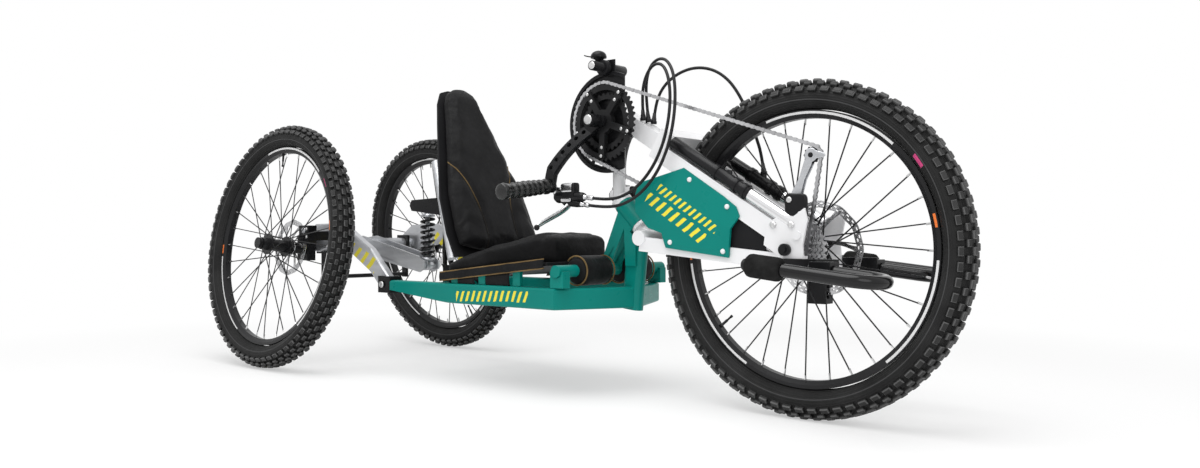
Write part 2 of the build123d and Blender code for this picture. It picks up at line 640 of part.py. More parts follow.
# Lower stays: a capped cross tube behind the tyre, and a stay on each side under the axle
LOW_X0 = YOKE_X
LOW_Z0 = YOKE_Z - 13
LOW_X1 = FRONT_X + 35
LOW_Z1 = AXLE_Z - 28


def low_z(x):
    return LOW_Z0 + (LOW_Z1 - LOW_Z0) * (x - LOW_X0) / (LOW_X1 - LOW_X0)


lower = disc_y(YOKE_X, YOKE_Z, YOKE_R, -STAY_OUT - 4, STAY_OUT + 4)
for y in (-stay_y, stay_y):
    lower = lower.fuse(box_bar((LOW_X0, y, LOW_Z0), (LOW_X1, y, LOW_Z1), stay_w, LOWER_STAY_H))
save("lower_stays", lower)

web_low = LOWER_STAY_H / 2 + SEAT_GAP
web_up = -STAY_H / 2 - SEAT_GAP
web_back = stay_point(CROWN_S0 - 45, web_up)
web_front = stay_point(48, web_up)
web = [(YOKE_X + 66, low_z(YOKE_X + 66) + web_low), (web_back[0], web_back[2]),
       (web_front[0], web_front[2]),
       (FRONT_X - 50, low_z(FRONT_X - 50) + web_low)]
save("fork_webs", both(side_plate(web, -stay_y - 4, -stay_y)))

# Green side panels screwed to the stays, folded inward along two creases
panel_in = STAY_OUT + SEAT_GAP
PANEL = [(-365, 144), (-248, 172), (-146, 108), (-116, 86), (-108, 66), (-128, 41), (-133, -18),
         (-293, 1), (-304, 33),
         (-340, 44), (-376, 80), (-376, 118)]
CREASES = [
    {"from": (-365, 144), "to": (-128, 41)},
    {"from": (-132, -5), "to": (-304, 12)},
]
CREASE_SLOPE = 0.085


def fold(start, end):
    u = (Vector(end[0], 0, end[1]) - Vector(start[0], 0, start[1])).normalized()
    v = Vector(-u.Z, 0, u.X)
    plane = Plane(origin=(FRONT_X + start[0], -panel_in - PANEL_T, AXLE_Z + start[1]), x_dir=v, z_dir=u)
    wedge = make_face(Polyline((0, 0, 0), (200, -200 * CREASE_SLOPE, 0), (200, 30, 0), (0, 30, 0),
                               close=True))
    return plane * (Pos(0, 0, -400) * extrude(wedge, amount=1000, dir=(0, 0, 1)))


panel = side_plate(shifted(PANEL, FRONT_X, AXLE_Z), -panel_in - PANEL_T, -panel_in)
for crease in CREASES:
    panel -= fold(crease["from"], crease["to"])
save("side_panels", both(largest(panel)))

# Dropouts hold the axle, the struts and the derailleur
STRUT_JOIN_S = 118.0
strut_n = STAY_H / 2 + STRUT_R + SEAT_GAP
strut_tube_r = STRUT_R - 2
tube_ends = (stay_point(STRUT_JOIN_S, strut_n, -STRUT_Y), stay_point(6, strut_n, -STRUT_Y))
tube_room = rod(*tube_ends, strut_tube_r + SEAT_GAP)
DROPOUT = [(-50, 9), (-44, 53), (-8, 69), (16, 65), (40, 81), (46, 57), (36, 9), (40, -43), (-12, -43),
           (-22, -9)]
dropout = side_plate(shifted(DROPOUT, FRONT_X, AXLE_Z), -panel_in - PLATE_T, -panel_in)
dropout = dropout.fuse(disc_y(FRONT_X + 24, AXLE_Z + 28, 9.0, -panel_in - PLATE_T - 3, -panel_in))
dropout -= disc_y(FRONT_X, AXLE_Z, AXLE_R + SEAT_GAP, -panel_in - 30, 0)
dropout -= tube_room
save("dropouts", both(largest(dropout)))
save("strut_tubes", both(rod(*tube_ends, strut_tube_r)))

PORT_S = 178.0
PORT_R = 6.5
PORT_H = 21.0
STRUT_RINGS = [STRUT_JOIN_S + 10, STRUT_JOIN_S + 34, STRUT_JOIN_S + 90]
port = stay_point(PORT_S, strut_n, -STRUT_Y)
strut_body = rod(stay_point(STRUT_JOIN_S + SEAT_GAP, strut_n, -STRUT_Y),
                 stay_point(CROWN_S0 - SEAT_GAP, strut_n, -STRUT_Y), STRUT_R - 2)
for s in STRUT_RINGS:
    strut_body = strut_body.fuse(rod(stay_point(s, strut_n, -STRUT_Y),
                                     stay_point(s + 12, strut_n, -STRUT_Y), STRUT_R))
strut_body = strut_body.fuse(rod(port, (port[0], port[1], port[2] + PORT_H), PORT_R))
save("strut_bodies", both(strut_body))

AXLE_NUT_R = 12.0
axle_y = panel_in + PLATE_T
front_axle = disc_y(FRONT_X, AXLE_Z, AXLE_R, -axle_y - 14, axle_y + 14)
for side in (-1, 1):
    front_axle = front_axle.fuse(disc_y(FRONT_X, AXLE_Z, AXLE_NUT_R, side * (axle_y + SEAT_GAP),
                                        side * (axle_y + 10)))
save("front_axle", front_axle)

# Leg rests: U-shaped loops on each side of the wheel, with foam on the outer ends
LEG_X0 = FRONT_X - 15
LEG_X1 = FRONT_X + 185
LEG_Z0 = AXLE_Z - 27
LEG_DROP = 22.0


def leg_at(x, y):
    return (x, y, LEG_Z0 - LEG_DROP * (x - LEG_X0) / (LEG_X1 - LEG_X0))


leg_bend_r = (LEG_IN_Y - LEG_OUT_Y) / 2
bend_centre = leg_at(LEG_X1, (LEG_IN_Y + LEG_OUT_Y) / 2)
leg_slope = math.atan2(LEG_DROP, LEG_X1 - LEG_X0)
bend_plane = Plane(origin=bend_centre, x_dir=(0, -1, 0),
                   z_dir=(-math.sin(leg_slope), 0, -math.cos(leg_slope)))
bend_start = bend_plane * (Rot(90, 0, 0) * (Pos(leg_bend_r, 0) * Circle(LEG_TUBE_R)))
bend = revolve(bend_start, Axis(bend_centre, bend_plane.z_dir), 180)
if bend.bounding_box().max.X < LEG_X1 + leg_bend_r / 2:
    bend = revolve(bend_start, Axis(bend_centre, -bend_plane.z_dir), 180)
leg_loop = bend.fuse(rod(leg_at(LEG_X0, LEG_OUT_Y), leg_at(LEG_X1, LEG_OUT_Y), LEG_TUBE_R),
                     rod(leg_at(LEG_X0 + 80, LEG_IN_Y), leg_at(LEG_X1, LEG_IN_Y), LEG_TUBE_R))
save("leg_rest_loops", both(leg_loop))

foam = rod(leg_at(LEG_X0 + 3, LEG_OUT_Y), leg_at(LEG_X0 + 77, LEG_OUT_Y), LEG_FOAM_R)
foam -= rod(leg_at(LEG_X0 - 35, LEG_OUT_Y), leg_at(LEG_X1, LEG_OUT_Y), LEG_TUBE_R + SEAT_GAP)
save("leg_rest_foams", both(foam))

clamp_z = leg_at(FRONT_X + 92, 0)[2]
clamp = block(FRONT_X + 70, FRONT_X + 114, LEG_IN_Y - 17, LEG_IN_Y + 17, clamp_z - 18, clamp_z + 18)
clamp = clamp.fuse(block(FRONT_X - 8, FRONT_X + 114, -axle_y - 8, -axle_y - SEAT_GAP, AXLE_Z - 49,
                         AXLE_Z - 17))
clamp -= rod(leg_at(LEG_X0 - 35, LEG_IN_Y), leg_at(LEG_X1, LEG_IN_Y), LEG_TUBE_R + SEAT_GAP)
clamp -= disc_y(FRONT_X, AXLE_Z, AXLE_NUT_R + 2, -200, 0)
save("leg_rest_brackets", both(clamp))

# Chain guard: a rimmed disc cut off straight toward the wheel, with slots and a lug for the accessory bar
GUARD_FRONT = 48.0
GUARD_R = RING_R + GUARD_MARGIN
BAR_X = CRANK_X - 3
BAR_Z = CRANK_Z + GUARD_R + 8
guard_in = SHELL_HALF_W + SEAT_GAP
guard_mid = guard_in + GUARD_T
guard = disc_y(CRANK_X, CRANK_Z, GUARD_R, -guard_in - GUARD_RIM_T, -guard_in)
guard -= disc_y(CRANK_X, CRANK_Z, GUARD_R - 9, -guard_in - GUARD_RIM_T - 9, -guard_mid)
guard = guard.fuse(block(BAR_X - 22, BAR_X + 22, -guard_mid, -guard_in, BAR_Z - 26, BAR_Z + 20))
guard -= block(CRANK_X + GUARD_FRONT, CRANK_X + 200, -90, 0, CRANK_Z - 200, CRANK_Z + 200)
guard -= disc_y(CRANK_X, CRANK_Z, CRANK_AXLE_R + 3, -90, 0)
guard -= disc_y(BAR_X, BAR_Z, BAR_R + SEAT_GAP, -90, 0)
slot_r = GUARD_R - 19
slot = block(-13, 13, -90, 0, -4, 4)
for i in range(8):
    turn = 112 + 20 * i
    a = math.radians(turn)
    slot_at = Pos(CRANK_X + slot_r * math.cos(a), 0, CRANK_Z + slot_r * math.sin(a))
    guard -= slot_at * Rot(0, 90 - turn, 0) * slot
save("chain_guard", largest(guard))

bar_step_y = -guard_mid - 22
bar = rod((BAR_X, 20, BAR_Z), (BAR_X, bar_step_y, BAR_Z), BAR_R)
save("accessory_bar", bar.fuse(rod((BAR_X, bar_step_y, BAR_Z), (BAR_X, bar_step_y - BAR_END_LEN, BAR_Z),
                                   BAR_END_R)))

BELL_R = 19.0
bell_y = bar_step_y + 9
bell_x = BAR_X - 16
bell = disc_y(BAR_X, BAR_Z, BAR_R + 5, bell_y - 7, bell_y + 7)
bell = bell.fuse(rod((BAR_X - 8, bell_y, BAR_Z), (bell_x, bell_y, BAR_Z + 26), 6.0),
                 rod((bell_x, bell_y, BAR_Z + 24), (bell_x, bell_y, BAR_Z + 34), BELL_R),
                 rod((bell_x, bell_y, BAR_Z + 33), (bell_x, bell_y, BAR_Z + 42), BELL_R - 5))
bell -= disc_y(BAR_X, BAR_Z, BAR_R + SEAT_GAP, -200, 0)
save("bell", bell)

# Derailleur, turned upward at the front axle
PULLEY_R = 20.0
PULLEY_X = FRONT_X + 41
PULLEY_Z = AXLE_Z + 185
DERAIL_X = FRONT_X + 4
DERAIL_Z = AXLE_Z + 98
DERAIL_PIN_R = 11.0
derailleur = block(DERAIL_X - 12, DERAIL_X + 36, -STAY_OUT, -STAY_IN - 2, AXLE_Z + 55, DERAIL_Z + 13)
derailleur = derailleur.fuse(disc_y(DERAIL_X, DERAIL_Z, DERAIL_PIN_R, -STAY_IN - 2, -44))
derailleur -= tube_room
save("derailleur_body", largest(derailleur))
cage_gap = CHAIN_W / 2 + 1
cage_arm = [(DERAIL_X, DERAIL_Z, DERAIL_PIN_R + 4), (PULLEY_X, PULLEY_Z, 9.0)]
cage_head = [(PULLEY_X, PULLEY_Z, 13.0), (PULLEY_X + 30, PULLEY_Z - 2, 4.0),
             (PULLEY_X + 3, PULLEY_Z - 38, 5.0)]
cage_out = CHAIN_Y - cage_gap
cage_in = CHAIN_Y + cage_gap
cage = belt(cage_arm, cage_out - 2, cage_out)
cage = cage.fuse(belt(cage_head, cage_out - 2, cage_out),
                 belt(cage_arm, cage_in, cage_in + 2),
                 disc_y(PULLEY_X, PULLEY_Z, 6.0, cage_out - 2, cage_in + 2),
                 front_place * Pos(PULLEY_X - FRONT_X, 0, PULLEY_Z - AXLE_Z)
                 * side_plate(toothed(11, PULLEY_R, 4.0), CHAIN_Y - 1.5, CHAIN_Y + 1.5))
cage -= disc_y(DERAIL_X, DERAIL_Z, DERAIL_PIN_R + SEAT_GAP, -90, 0)
save("derailleur_cage", cage)


# Chain: one loop round the big ring, the pulley and a cog, hollow inside so that the teeth run in it
def chain_loop(grow, half):
    rounds = [(CRANK_X, CRANK_Z, RING_R + grow), (PULLEY_X, PULLEY_Z, PULLEY_R + grow),
              (FRONT_X, AXLE_Z, COGS[CHAIN_COG]["r"] + grow)]
    return belt(rounds, CHAIN_Y - half, CHAIN_Y + half)


chain = chain_loop(CHAIN_OUT, CHAIN_W / 2) - chain_loop(-CHAIN_IN, CHAIN_W)
chain -= chain_loop(RUN_GAP, CHAIN_W / 2 - CHAIN_PLATE_T)
save("chain", chain)

# Front caliper under the left lower stay, round the front disc
f_caliper = block(FRONT_X - 20, FRONT_X + 22, STAY_IN - 19, STAY_OUT - 2, AXLE_Z - FRONT_DISC_R - 13,
                  low_z(FRONT_X + 22) - LOWER_STAY_H / 2 - SEAT_GAP)
f_caliper -= disc_y(FRONT_X, AXLE_Z, FRONT_DISC_R + 4, FRONT_DISC_Y - 5, FRONT_DISC_Y + 5)
save("front_caliper", f_caliper)

# Hand crank: axle, toothed rings on a spider, bent arms, grips and controls
ARM_ROOT_IN = -62.0
ARM_END_IN = -118.0
ARM_THICK = 14.0
ARM_WIDTH = 26.0
AXLE_BARREL_LEN = 34.0
arm_root_out = ARM_ROOT_IN - ARM_THICK
arm_end_out = ARM_END_IN - ARM_THICK
crank_axle = disc_y(CRANK_X, CRANK_Z, CRANK_AXLE_R, arm_root_out - 6, 6 - arm_root_out)
for side in (-1, 1):
    crank_axle = crank_axle.fuse(disc_y(CRANK_X, CRANK_Z, CRANK_AXLE_R + 3,
                                        side * (SEAT_GAP - arm_root_out),
                                        side * (AXLE_BARREL_LEN - arm_root_out)))
save("crank_axle", crank_axle)

SPIDER_ARMS = 5
SMALL_RING_Y = CHAIN_Y + 5.5
SPIDER_OUT_Y = CHAIN_Y - 8
spider_face_y = CHAIN_Y - RING_T / 2
rings = side_plate(toothed(RING_TEETH, RING_R, 6.0), spider_face_y, CHAIN_Y + RING_T / 2)
rings -= disc_y(0, 0, RING_R - 18, -90, 0)
small_ring = side_plate(toothed(SMALL_RING_TEETH, SMALL_RING_R, 5.0), SMALL_RING_Y - 1, SMALL_RING_Y + 1)
small_ring -= disc_y(0, 0, SMALL_RING_R - 15, -90, 0)
spider = disc_y(0, 0, 28, SPIDER_OUT_Y, SMALL_RING_Y + 1)
spider_arms = []
for i in range(SPIDER_ARMS):
    arm = block(10, RING_R - 8, SPIDER_OUT_Y, spider_face_y + 1, -8, 8)
    arm = arm.fuse(block(10, SMALL_RING_R - 8, SPIDER_OUT_Y, SMALL_RING_Y, -7, 7),
                   disc_y(RING_R - 12, 0, 5.0, SPIDER_OUT_Y - 1.5, spider_face_y + 1))
    spider_arms.append(Rot(0, 360 / SPIDER_ARMS * i + 20, 0) * arm)
rings = rings.fuse(small_ring, spider, *spider_arms)
rings -= disc_y(0, 0, CRANK_AXLE_R + SEAT_GAP, -90, 0)
save("chainrings", Pos(CRANK_X, 0, CRANK_Z) * rings)

ca = math.radians(CRANK_DEG)
along = Vector(math.cos(ca), 0, math.sin(ca))
across = Vector(-math.sin(ca), 0, math.cos(ca))


def crank_at(s, t, y):
    return (CRANK_X + s * along.X + t * across.X, y, CRANK_Z + s * along.Z + t * across.Z)


ARM_BULGE = 22.0
bow_r = (CRANK_LEN ** 2 / 4 + ARM_BULGE ** 2) / (2 * ARM_BULGE)


def bow(s, offset):
    drop = math.sqrt((bow_r + offset) ** 2 - (s - CRANK_LEN / 2) ** 2)
    return crank_at(s, bow_r - ARM_BULGE - drop, 0)


arm_end_s = CRANK_LEN + 14
arm_bend_s = CRANK_LEN - 32
arm_line = [(-16, ARM_ROOT_IN), (40, ARM_ROOT_IN), (arm_bend_s, ARM_END_IN), (arm_end_s, ARM_END_IN),
            (arm_end_s, arm_end_out), (arm_bend_s - 4, arm_end_out), (34, arm_root_out),
            (-16, arm_root_out)]
arm_face = make_face(Polyline(*[crank_at(s, -60, y) for s, y in arm_line], close=True))
bent_plate = extrude(arm_face, amount=100, dir=across)
upper_bow = ThreePointArc(bow(0, ARM_WIDTH / 2), bow(CRANK_LEN / 2, ARM_WIDTH / 2),
                          bow(CRANK_LEN, ARM_WIDTH / 2))
lower_bow = ThreePointArc(bow(CRANK_LEN, -ARM_WIDTH / 2), bow(CRANK_LEN / 2, -ARM_WIDTH / 2),
                          bow(0, -ARM_WIDTH / 2))
bow_face = make_face([upper_bow, Line(upper_bow @ 1, lower_bow @ 0), lower_bow,
                      Line(lower_bow @ 1, upper_bow @ 0)])
bow_band = extrude(bow_face, amount=150, dir=(0, -1, 0))
for s in (0, CRANK_LEN):
    end_x, end_y, end_z = crank_at(s, 0, 0)
    bow_band = bow_band.fuse(disc_y(end_x, end_z, ARM_WIDTH / 2 + 2, -150, 0))
crank_arm = bent_plate & bow_band
crank_arm -= disc_y(CRANK_X, CRANK_Z, CRANK_AXLE_R + SEAT_GAP, -150, 0)
for i in range(6):
    hx, hy, hz = bow(42 + 20 * i, 3)
    crank_arm -= disc_y(hx, hz, 5.0, -150, 0)
save("crank_arms", both(crank_arm))

# Grips: waisted rubber sleeves with an end flange, tipped down a little toward the outside
GRIP_SHAPE = [
    {"at": 0.5, "r": GRIP_R + 3},
    {"at": 10.0, "r": GRIP_R + 3},
    {"at": 18.0, "r": GRIP_R},
    {"at": 75.0, "r": GRIP_R + 2},
    {"at": GRIP_LEN - 20, "r": GRIP_R},
    {"at": GRIP_LEN - 8, "r": GRIP_R + 4},
    {"at": GRIP_LEN, "r": GRIP_R + 3},
]
grip_root = crank_at(CRANK_LEN, 0, arm_end_out - SEAT_GAP)
grip_rows = [(row["r"], row["at"]) for row in GRIP_SHAPE]
grip_line = [(0.0, GRIP_SHAPE[0]["at"])] + grip_rows + [(0.0, GRIP_LEN)]
grip_face = make_face(Polyline(*[(r, 0, at) for r, at in grip_line], close=True))
grip = Plane(origin=grip_root, x_dir=(1, 0, 0), z_dir=(0, -1, -0.12)) * revolve(grip_face, Axis.Z, 360)
grip -= block(CRANK_X - 300, CRANK_X + 300, arm_end_out - SEAT_GAP, 0, CRANK_Z - 400, CRANK_Z + 400)
save("grips", both(grip))

# Controls on the crank ends: clamp, master cylinder, shifter pod, two hose ends and a bent lever blade
end_x, end_y, end_z = crank_at(CRANK_LEN, 0, ARM_END_IN + SEAT_GAP)
CONTROL_W = 22.0
control_y = end_y + CONTROL_W / 2
hose_a = (end_x + 118, control_y, end_z - 30)
hose_b = (end_x + 106, control_y, end_z - 46)
control = block(end_x + 2, end_x + 60, end_y, end_y + CONTROL_W, end_z - 43, end_z - 11)
control = control.fuse(rod((end_x + 20, control_y, end_z - 18), (end_x + 92, control_y, end_z - 27),
                           10.0),
                       rod((end_x + 30, control_y, end_z - 36), (end_x + 84, control_y, end_z - 43),
                           8.0),
                       rod((end_x + 84, control_y, end_z - 26), hose_a, HOSE_R + 2),
                       rod((end_x + 78, control_y, end_z - 42), hose_b, HOSE_R + 2),
                       block(end_x + 24, end_x + 62, end_y + 2, end_y + CONTROL_W - 2, end_z - 20,
                             end_z + 5),
                       rod((end_x + 42, control_y, end_z - 39),
                           (end_x + 40, control_y - 29, end_z - 59), 6.0),
                       rod((end_x + 40, control_y - 28, end_z - 58),
                           (end_x + 38, control_y - 106, end_z - 98), 6.0))
save("control_levers", both(control))


# Hoses: two from the right control round to the top tube, one from there to the left strut
def hose(points):
    runs = [(Vector(*b) - Vector(*a)) for a, b in zip(points, points[1:])]
    radii = []
    for p, q in zip(runs, runs[1:]):
        turn = math.radians(p.get_angle(q))
        radii.append(0.45 * min(p.length, q.length) / math.tan(turn / 2))
    line = FilletPolyline(*points, radius=radii)
    print("hose bend radii", [round(r) for r in radii], "length", round(line.length))
    return sweep(Plane(origin=points[0], z_dir=runs[0]) * Circle(HOSE_R), path=line)


top_tube_n = TOP_TUBE_H / 2 + SEAT_GAP + HOSE_R * math.tan(stay_drop)
hold_a = stay_point(crank_s - 73, top_tube_n, -14)
hold_b = stay_point(crank_s - 79, top_tube_n, -1)
hold_c = stay_point(crank_s - 85, top_tube_n, 12)
hose_end = (port[0], -port[1], port[2] + PORT_H + SEAT_GAP + HOSE_R / 4)


def from_crank(points):
    return [(CRANK_X + x, y, CRANK_Z + z) for x, y, z in points]


HOSE_A_ROUTE = [(58, -107, -184), (102, -106, -177), (144, -104, -154), (178, -101, -118),
                (202, -97, -72),
                (215, -93, -20), (217, -88, 32), (206, -80, 79), (182, -68, 110), (150, -54, 118),
                (120, -40, 108),
                (98, -30, 82), (88, -22, 48)]
HOSE_B_ROUTE = [(52, -107, -201), (104, -106, -195), (152, -104, -170), (190, -101, -130),
                (215, -97, -80),
                (228, -92, -22), (229, -86, 38), (216, -76, 89), (188, -62, 121), (152, -46, 130),
                (117, -30, 119),
                (95, -16, 90), (88, -7, 50)]
HOSE_C_ROUTE = [(98, 14, 36), (113, 20, 76), (143, 32, 105), (183, 46, 119), (226, 58, 112),
                (263, 66, 86),
                (291, 71, 46), (312, 74, 0), (329, 75, -46), (345, 72, -86)]
start_a = (hose_a[0] + SEAT_GAP, hose_a[1], hose_a[2])
start_b = (hose_b[0] + SEAT_GAP, hose_b[1], hose_b[2])
save("lever_hoses", hose([start_a] + from_crank(HOSE_A_ROUTE) + [hold_a]),
     hose([start_b] + from_crank(HOSE_B_ROUTE) + [hold_b]))
save("strut_hose", hose([hold_c] + from_crank(HOSE_C_ROUTE) + [hose_end]))
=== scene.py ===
import math

import bpy
import numpy as np
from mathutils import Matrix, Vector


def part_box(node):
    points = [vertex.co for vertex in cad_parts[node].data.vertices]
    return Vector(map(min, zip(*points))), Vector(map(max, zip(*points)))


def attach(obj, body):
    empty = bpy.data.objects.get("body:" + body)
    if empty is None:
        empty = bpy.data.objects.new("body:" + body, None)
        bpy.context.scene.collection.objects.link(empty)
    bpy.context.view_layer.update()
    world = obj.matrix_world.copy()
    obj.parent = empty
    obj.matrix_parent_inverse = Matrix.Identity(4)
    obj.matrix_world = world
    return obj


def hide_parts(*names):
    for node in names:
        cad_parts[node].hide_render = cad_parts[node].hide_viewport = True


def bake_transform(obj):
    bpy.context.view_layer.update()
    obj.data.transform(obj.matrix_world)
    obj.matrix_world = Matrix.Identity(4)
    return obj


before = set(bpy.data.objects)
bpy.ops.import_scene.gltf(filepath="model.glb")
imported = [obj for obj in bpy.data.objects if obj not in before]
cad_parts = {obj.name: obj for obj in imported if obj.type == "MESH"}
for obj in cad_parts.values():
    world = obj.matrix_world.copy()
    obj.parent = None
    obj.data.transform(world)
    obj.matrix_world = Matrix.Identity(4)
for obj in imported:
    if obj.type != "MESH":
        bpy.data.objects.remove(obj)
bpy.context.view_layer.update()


# Camera: a standing photograph from the right front, level with the axles, wide enough for all three
# wheels. It comes first because the hoses are judged by what it sees.
scene = bpy.context.scene
camera_data = bpy.data.cameras.new("camera")
camera_data.sensor_width = 36.0
camera_data.lens = 28.36
camera = bpy.data.objects.new("camera", camera_data)
camera.location = (1.682, -1.7207, 0.3738)
camera.rotation_euler = (math.radians(90), 0, math.radians(40.74))
scene.collection.objects.link(camera)
scene.camera = camera


# Hoses: black rubber-covered brake hose and gear cable from the right control, in one wide loop to the
# top tube, and a thinner hose from there over the tyre to the left strut. Clipped at both ends.
def add_node(tree, kind, **inputs):
    """A new shader node. Each input, with underscores for the spaces in its name, is a value or a socket."""
    made = tree.nodes.new("ShaderNode" + kind)
    for name, given in inputs.items():
        socket = made.inputs[name.replace("_", " ")]
        if isinstance(given, bpy.types.NodeSocket):
            tree.links.new(given, socket)
        else:
            socket.default_value = given
    return made


def finish(name, colour, rough, metal=0.0, tone=0.15, tone_scale=9.0, grain=0.12, grain_scale=500.0,
           stretch=(1, 1, 1), coat=0.0, sheen=0.0, gloss=0.5):
    """Colour drifts with a broad noise, roughness with a middle one and the bump with a fine one."""
    mat = bpy.data.materials.new(name)
    mat.use_nodes = True
    tree = mat.node_tree
    shader = tree.nodes["Principled BSDF"]
    for socket, value in (("Metallic", metal), ("Coat Weight", coat), ("Coat Roughness", 0.15),
                          ("Sheen Weight", sheen), ("Specular IOR Level", gloss)):
        shader.inputs[socket].default_value = value
    place = add_node(tree, "TexCoord").outputs["Object"]
    place = add_node(tree, "Mapping", Vector=place, Scale=stretch).outputs["Vector"]
    broad, middle, fine = [add_node(tree, "TexNoise", Vector=place, Scale=scale, Detail=detail).outputs["Fac"]
                           for scale, detail in ((tone_scale, 5.0), (tone_scale * 7, 3.0), (grain_scale, 2.0))]
    ramp = add_node(tree, "ValToRGB", Fac=broad)
    for end, place_at, factor in ((0, 0.32, 1 - tone), (1, 0.68, 1 + tone)):
        ramp.color_ramp.elements[end].position = place_at
        ramp.color_ramp.elements[end].color = (*[min(1.0, c * factor) for c in colour], 1)
    tree.links.new(ramp.outputs["Color"], shader.inputs["Base Color"])
    span = add_node(tree, "MapRange", Value=middle, To_Min=max(0.02, rough * 0.75),
                    To_Max=min(1.0, rough * 1.25))
    tree.links.new(span.outputs["Result"], shader.inputs["Roughness"])
    bump = add_node(tree, "Bump", Height=fine, Strength=grain, Distance=0.0006)
    bump.name = "grain"
    tree.links.new(bump.outputs["Normal"], shader.inputs["Normal"])
    return mat


def solid(name, points, faces, mat, smooth=False):
    """A mesh object from whole arrays of points and faces."""
    mesh = bpy.data.meshes.new(name)
    mesh.from_pydata(points.reshape(-1, 3).tolist(), [], faces.tolist() if hasattr(faces, "tolist") else faces)
    mesh.polygons.foreach_set("use_smooth", np.full(len(mesh.polygons), smooth))
    mesh.materials.append(mat)
    obj = bpy.data.objects.new(name, mesh)
    scene.collection.objects.link(obj)
    return obj


def joined(*parts):
    """Coordinates spread over one common grid and set side by side in a last axis."""
    return np.stack(np.broadcast_arrays(*parts), -1)


def skin(name, points, mat, wrap_u=False, wrap_v=False, capped=False):
    """Quads between the neighbours of a grid of points; its UV is the grid's own place from 0 to 1."""
    rows, columns = points.shape[:2]
    index = np.arange(rows * columns).reshape(rows, columns)
    if wrap_u:
        index = np.concatenate([index, index[:1]])
    if wrap_v:
        index = np.concatenate([index, index[:, :1]], axis=1)
    faces = joined(index[:-1, :-1], index[1:, :-1], index[1:, 1:], index[:-1, 1:]).reshape(-1, 4).tolist()
    if capped:
        faces += [index[0, :columns].tolist(), index[-1, :columns][::-1].tolist()]
    obj = solid(name, points, faces, mat, smooth=True)
    grid = joined(np.linspace(0, 1, index.shape[0])[:, None], np.linspace(0, 1, index.shape[1]))
    corner = np.stack([grid[:-1, :-1], grid[1:, :-1], grid[1:, 1:], grid[:-1, 1:]], -2).reshape(-1, 2)
    spare = len(obj.data.loops) - len(corner)
    layer = obj.data.uv_layers.new(name="UVMap")
    layer.data.foreach_set("uv", np.concatenate([corner, np.zeros((spare, 2))]).ravel())
    return obj


def full_turn(count):
    """Angles spread evenly round a circle."""
    return np.linspace(0, 2 * math.pi, count, endpoint=False)


def tube_along(name, line, radius, mat, square_to, steps=10):
    """A cord carried along a line of points: each ring is spanned by the line's direction crossed with
    square_to, and by that crossed with the direction again. The two radii may change along the line."""
    ahead = np.gradient(line, axis=0)
    ahead /= np.linalg.norm(ahead, axis=1)[:, None]
    first = np.cross(ahead, square_to)
    first /= np.linalg.norm(first, axis=1)[:, None]
    second = np.cross(ahead, first)
    a = full_turn(steps)
    wide, tall = np.broadcast_to(np.asarray(radius, float).reshape(-1, 1) if np.ndim(radius) < 2 else radius,
                                 (len(line), 2)).T
    ring = (wide[:, None, None] * np.cos(a)[None, :, None] * first[:, None]
            + tall[:, None, None] * np.sin(a)[None, :, None] * second[:, None])
    return skin(name, line[:, None] + ring, mat, wrap_v=True, capped=True)


def ring_round(axis, hint, steps):
    """Unit vectors spread evenly round an axis, the first one square to the axis and to a hint."""
    first = np.cross(axis, hint)
    first /= np.linalg.norm(first)
    a = full_turn(steps)
    return np.cos(a)[:, None] * first + np.sin(a)[:, None] * np.cross(axis, first)


def lathe(name, centre, axis, profile, mat, steps=40, teeth=0, bite=0.0):
    """A surface of revolution: the profile's radius at each distance along the axis, both in millimetres, all
    round it. A toothed wheel's radius also swings by its bite with the cosine of the angle times its teeth."""
    axis = np.asarray(axis, float) / np.linalg.norm(axis)
    around = ring_round(axis, (0.31, 0.17, 0.93), steps)
    swing = 1 + bite * np.cos(teeth * full_turn(steps))[:, None]
    along, radius = np.asarray(profile, float).T[:, :, None, None] / 1000
    points = along * axis + radius * (around * swing)
    return skin(name, np.asarray(centre) + points, mat, wrap_v=True, capped=True)


def hose_line(name, route):
    """A NURBS line of order 3 with the route's points, in millimetres, as its control points."""
    line = bpy.data.curves.new(name, "CURVE")
    line.dimensions = "3D"
    line.resolution_u = 8
    spline = line.splines.new("NURBS")
    spline.points.add(len(route) - 1)
    spline.points.foreach_set("co", np.hstack([route / 1000, np.ones((len(route), 1))]).ravel())
    spline.order_u = 3
    spline.use_endpoint_u = True
    obj = bpy.data.objects.new(name, line)
    scene.collection.objects.link(obj)
    return obj


def hose_tube(name, route, width):
    """The hose's round mesh, carried along points read from its NURBS line."""
    guide = hose_line(name + "_line", route)
    run = bpy.data.meshes.new_from_object(guide.evaluated_get(bpy.context.evaluated_depsgraph_get()))
    points = np.empty(len(run.vertices) * 3)
    run.vertices.foreach_get("co", points)
    points = points.reshape(-1, 3)
    bpy.data.objects.remove(guide)
    return tube_along(name, points, width / 2, hose_rubber, (0, 1, 0)), points


def mount(piece, body, slot, *nodes):
    """The piece moves with a body and stands for the CAD nodes that are named; the slot is not used."""
    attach(piece, body)
    if nodes:
        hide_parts(*nodes)


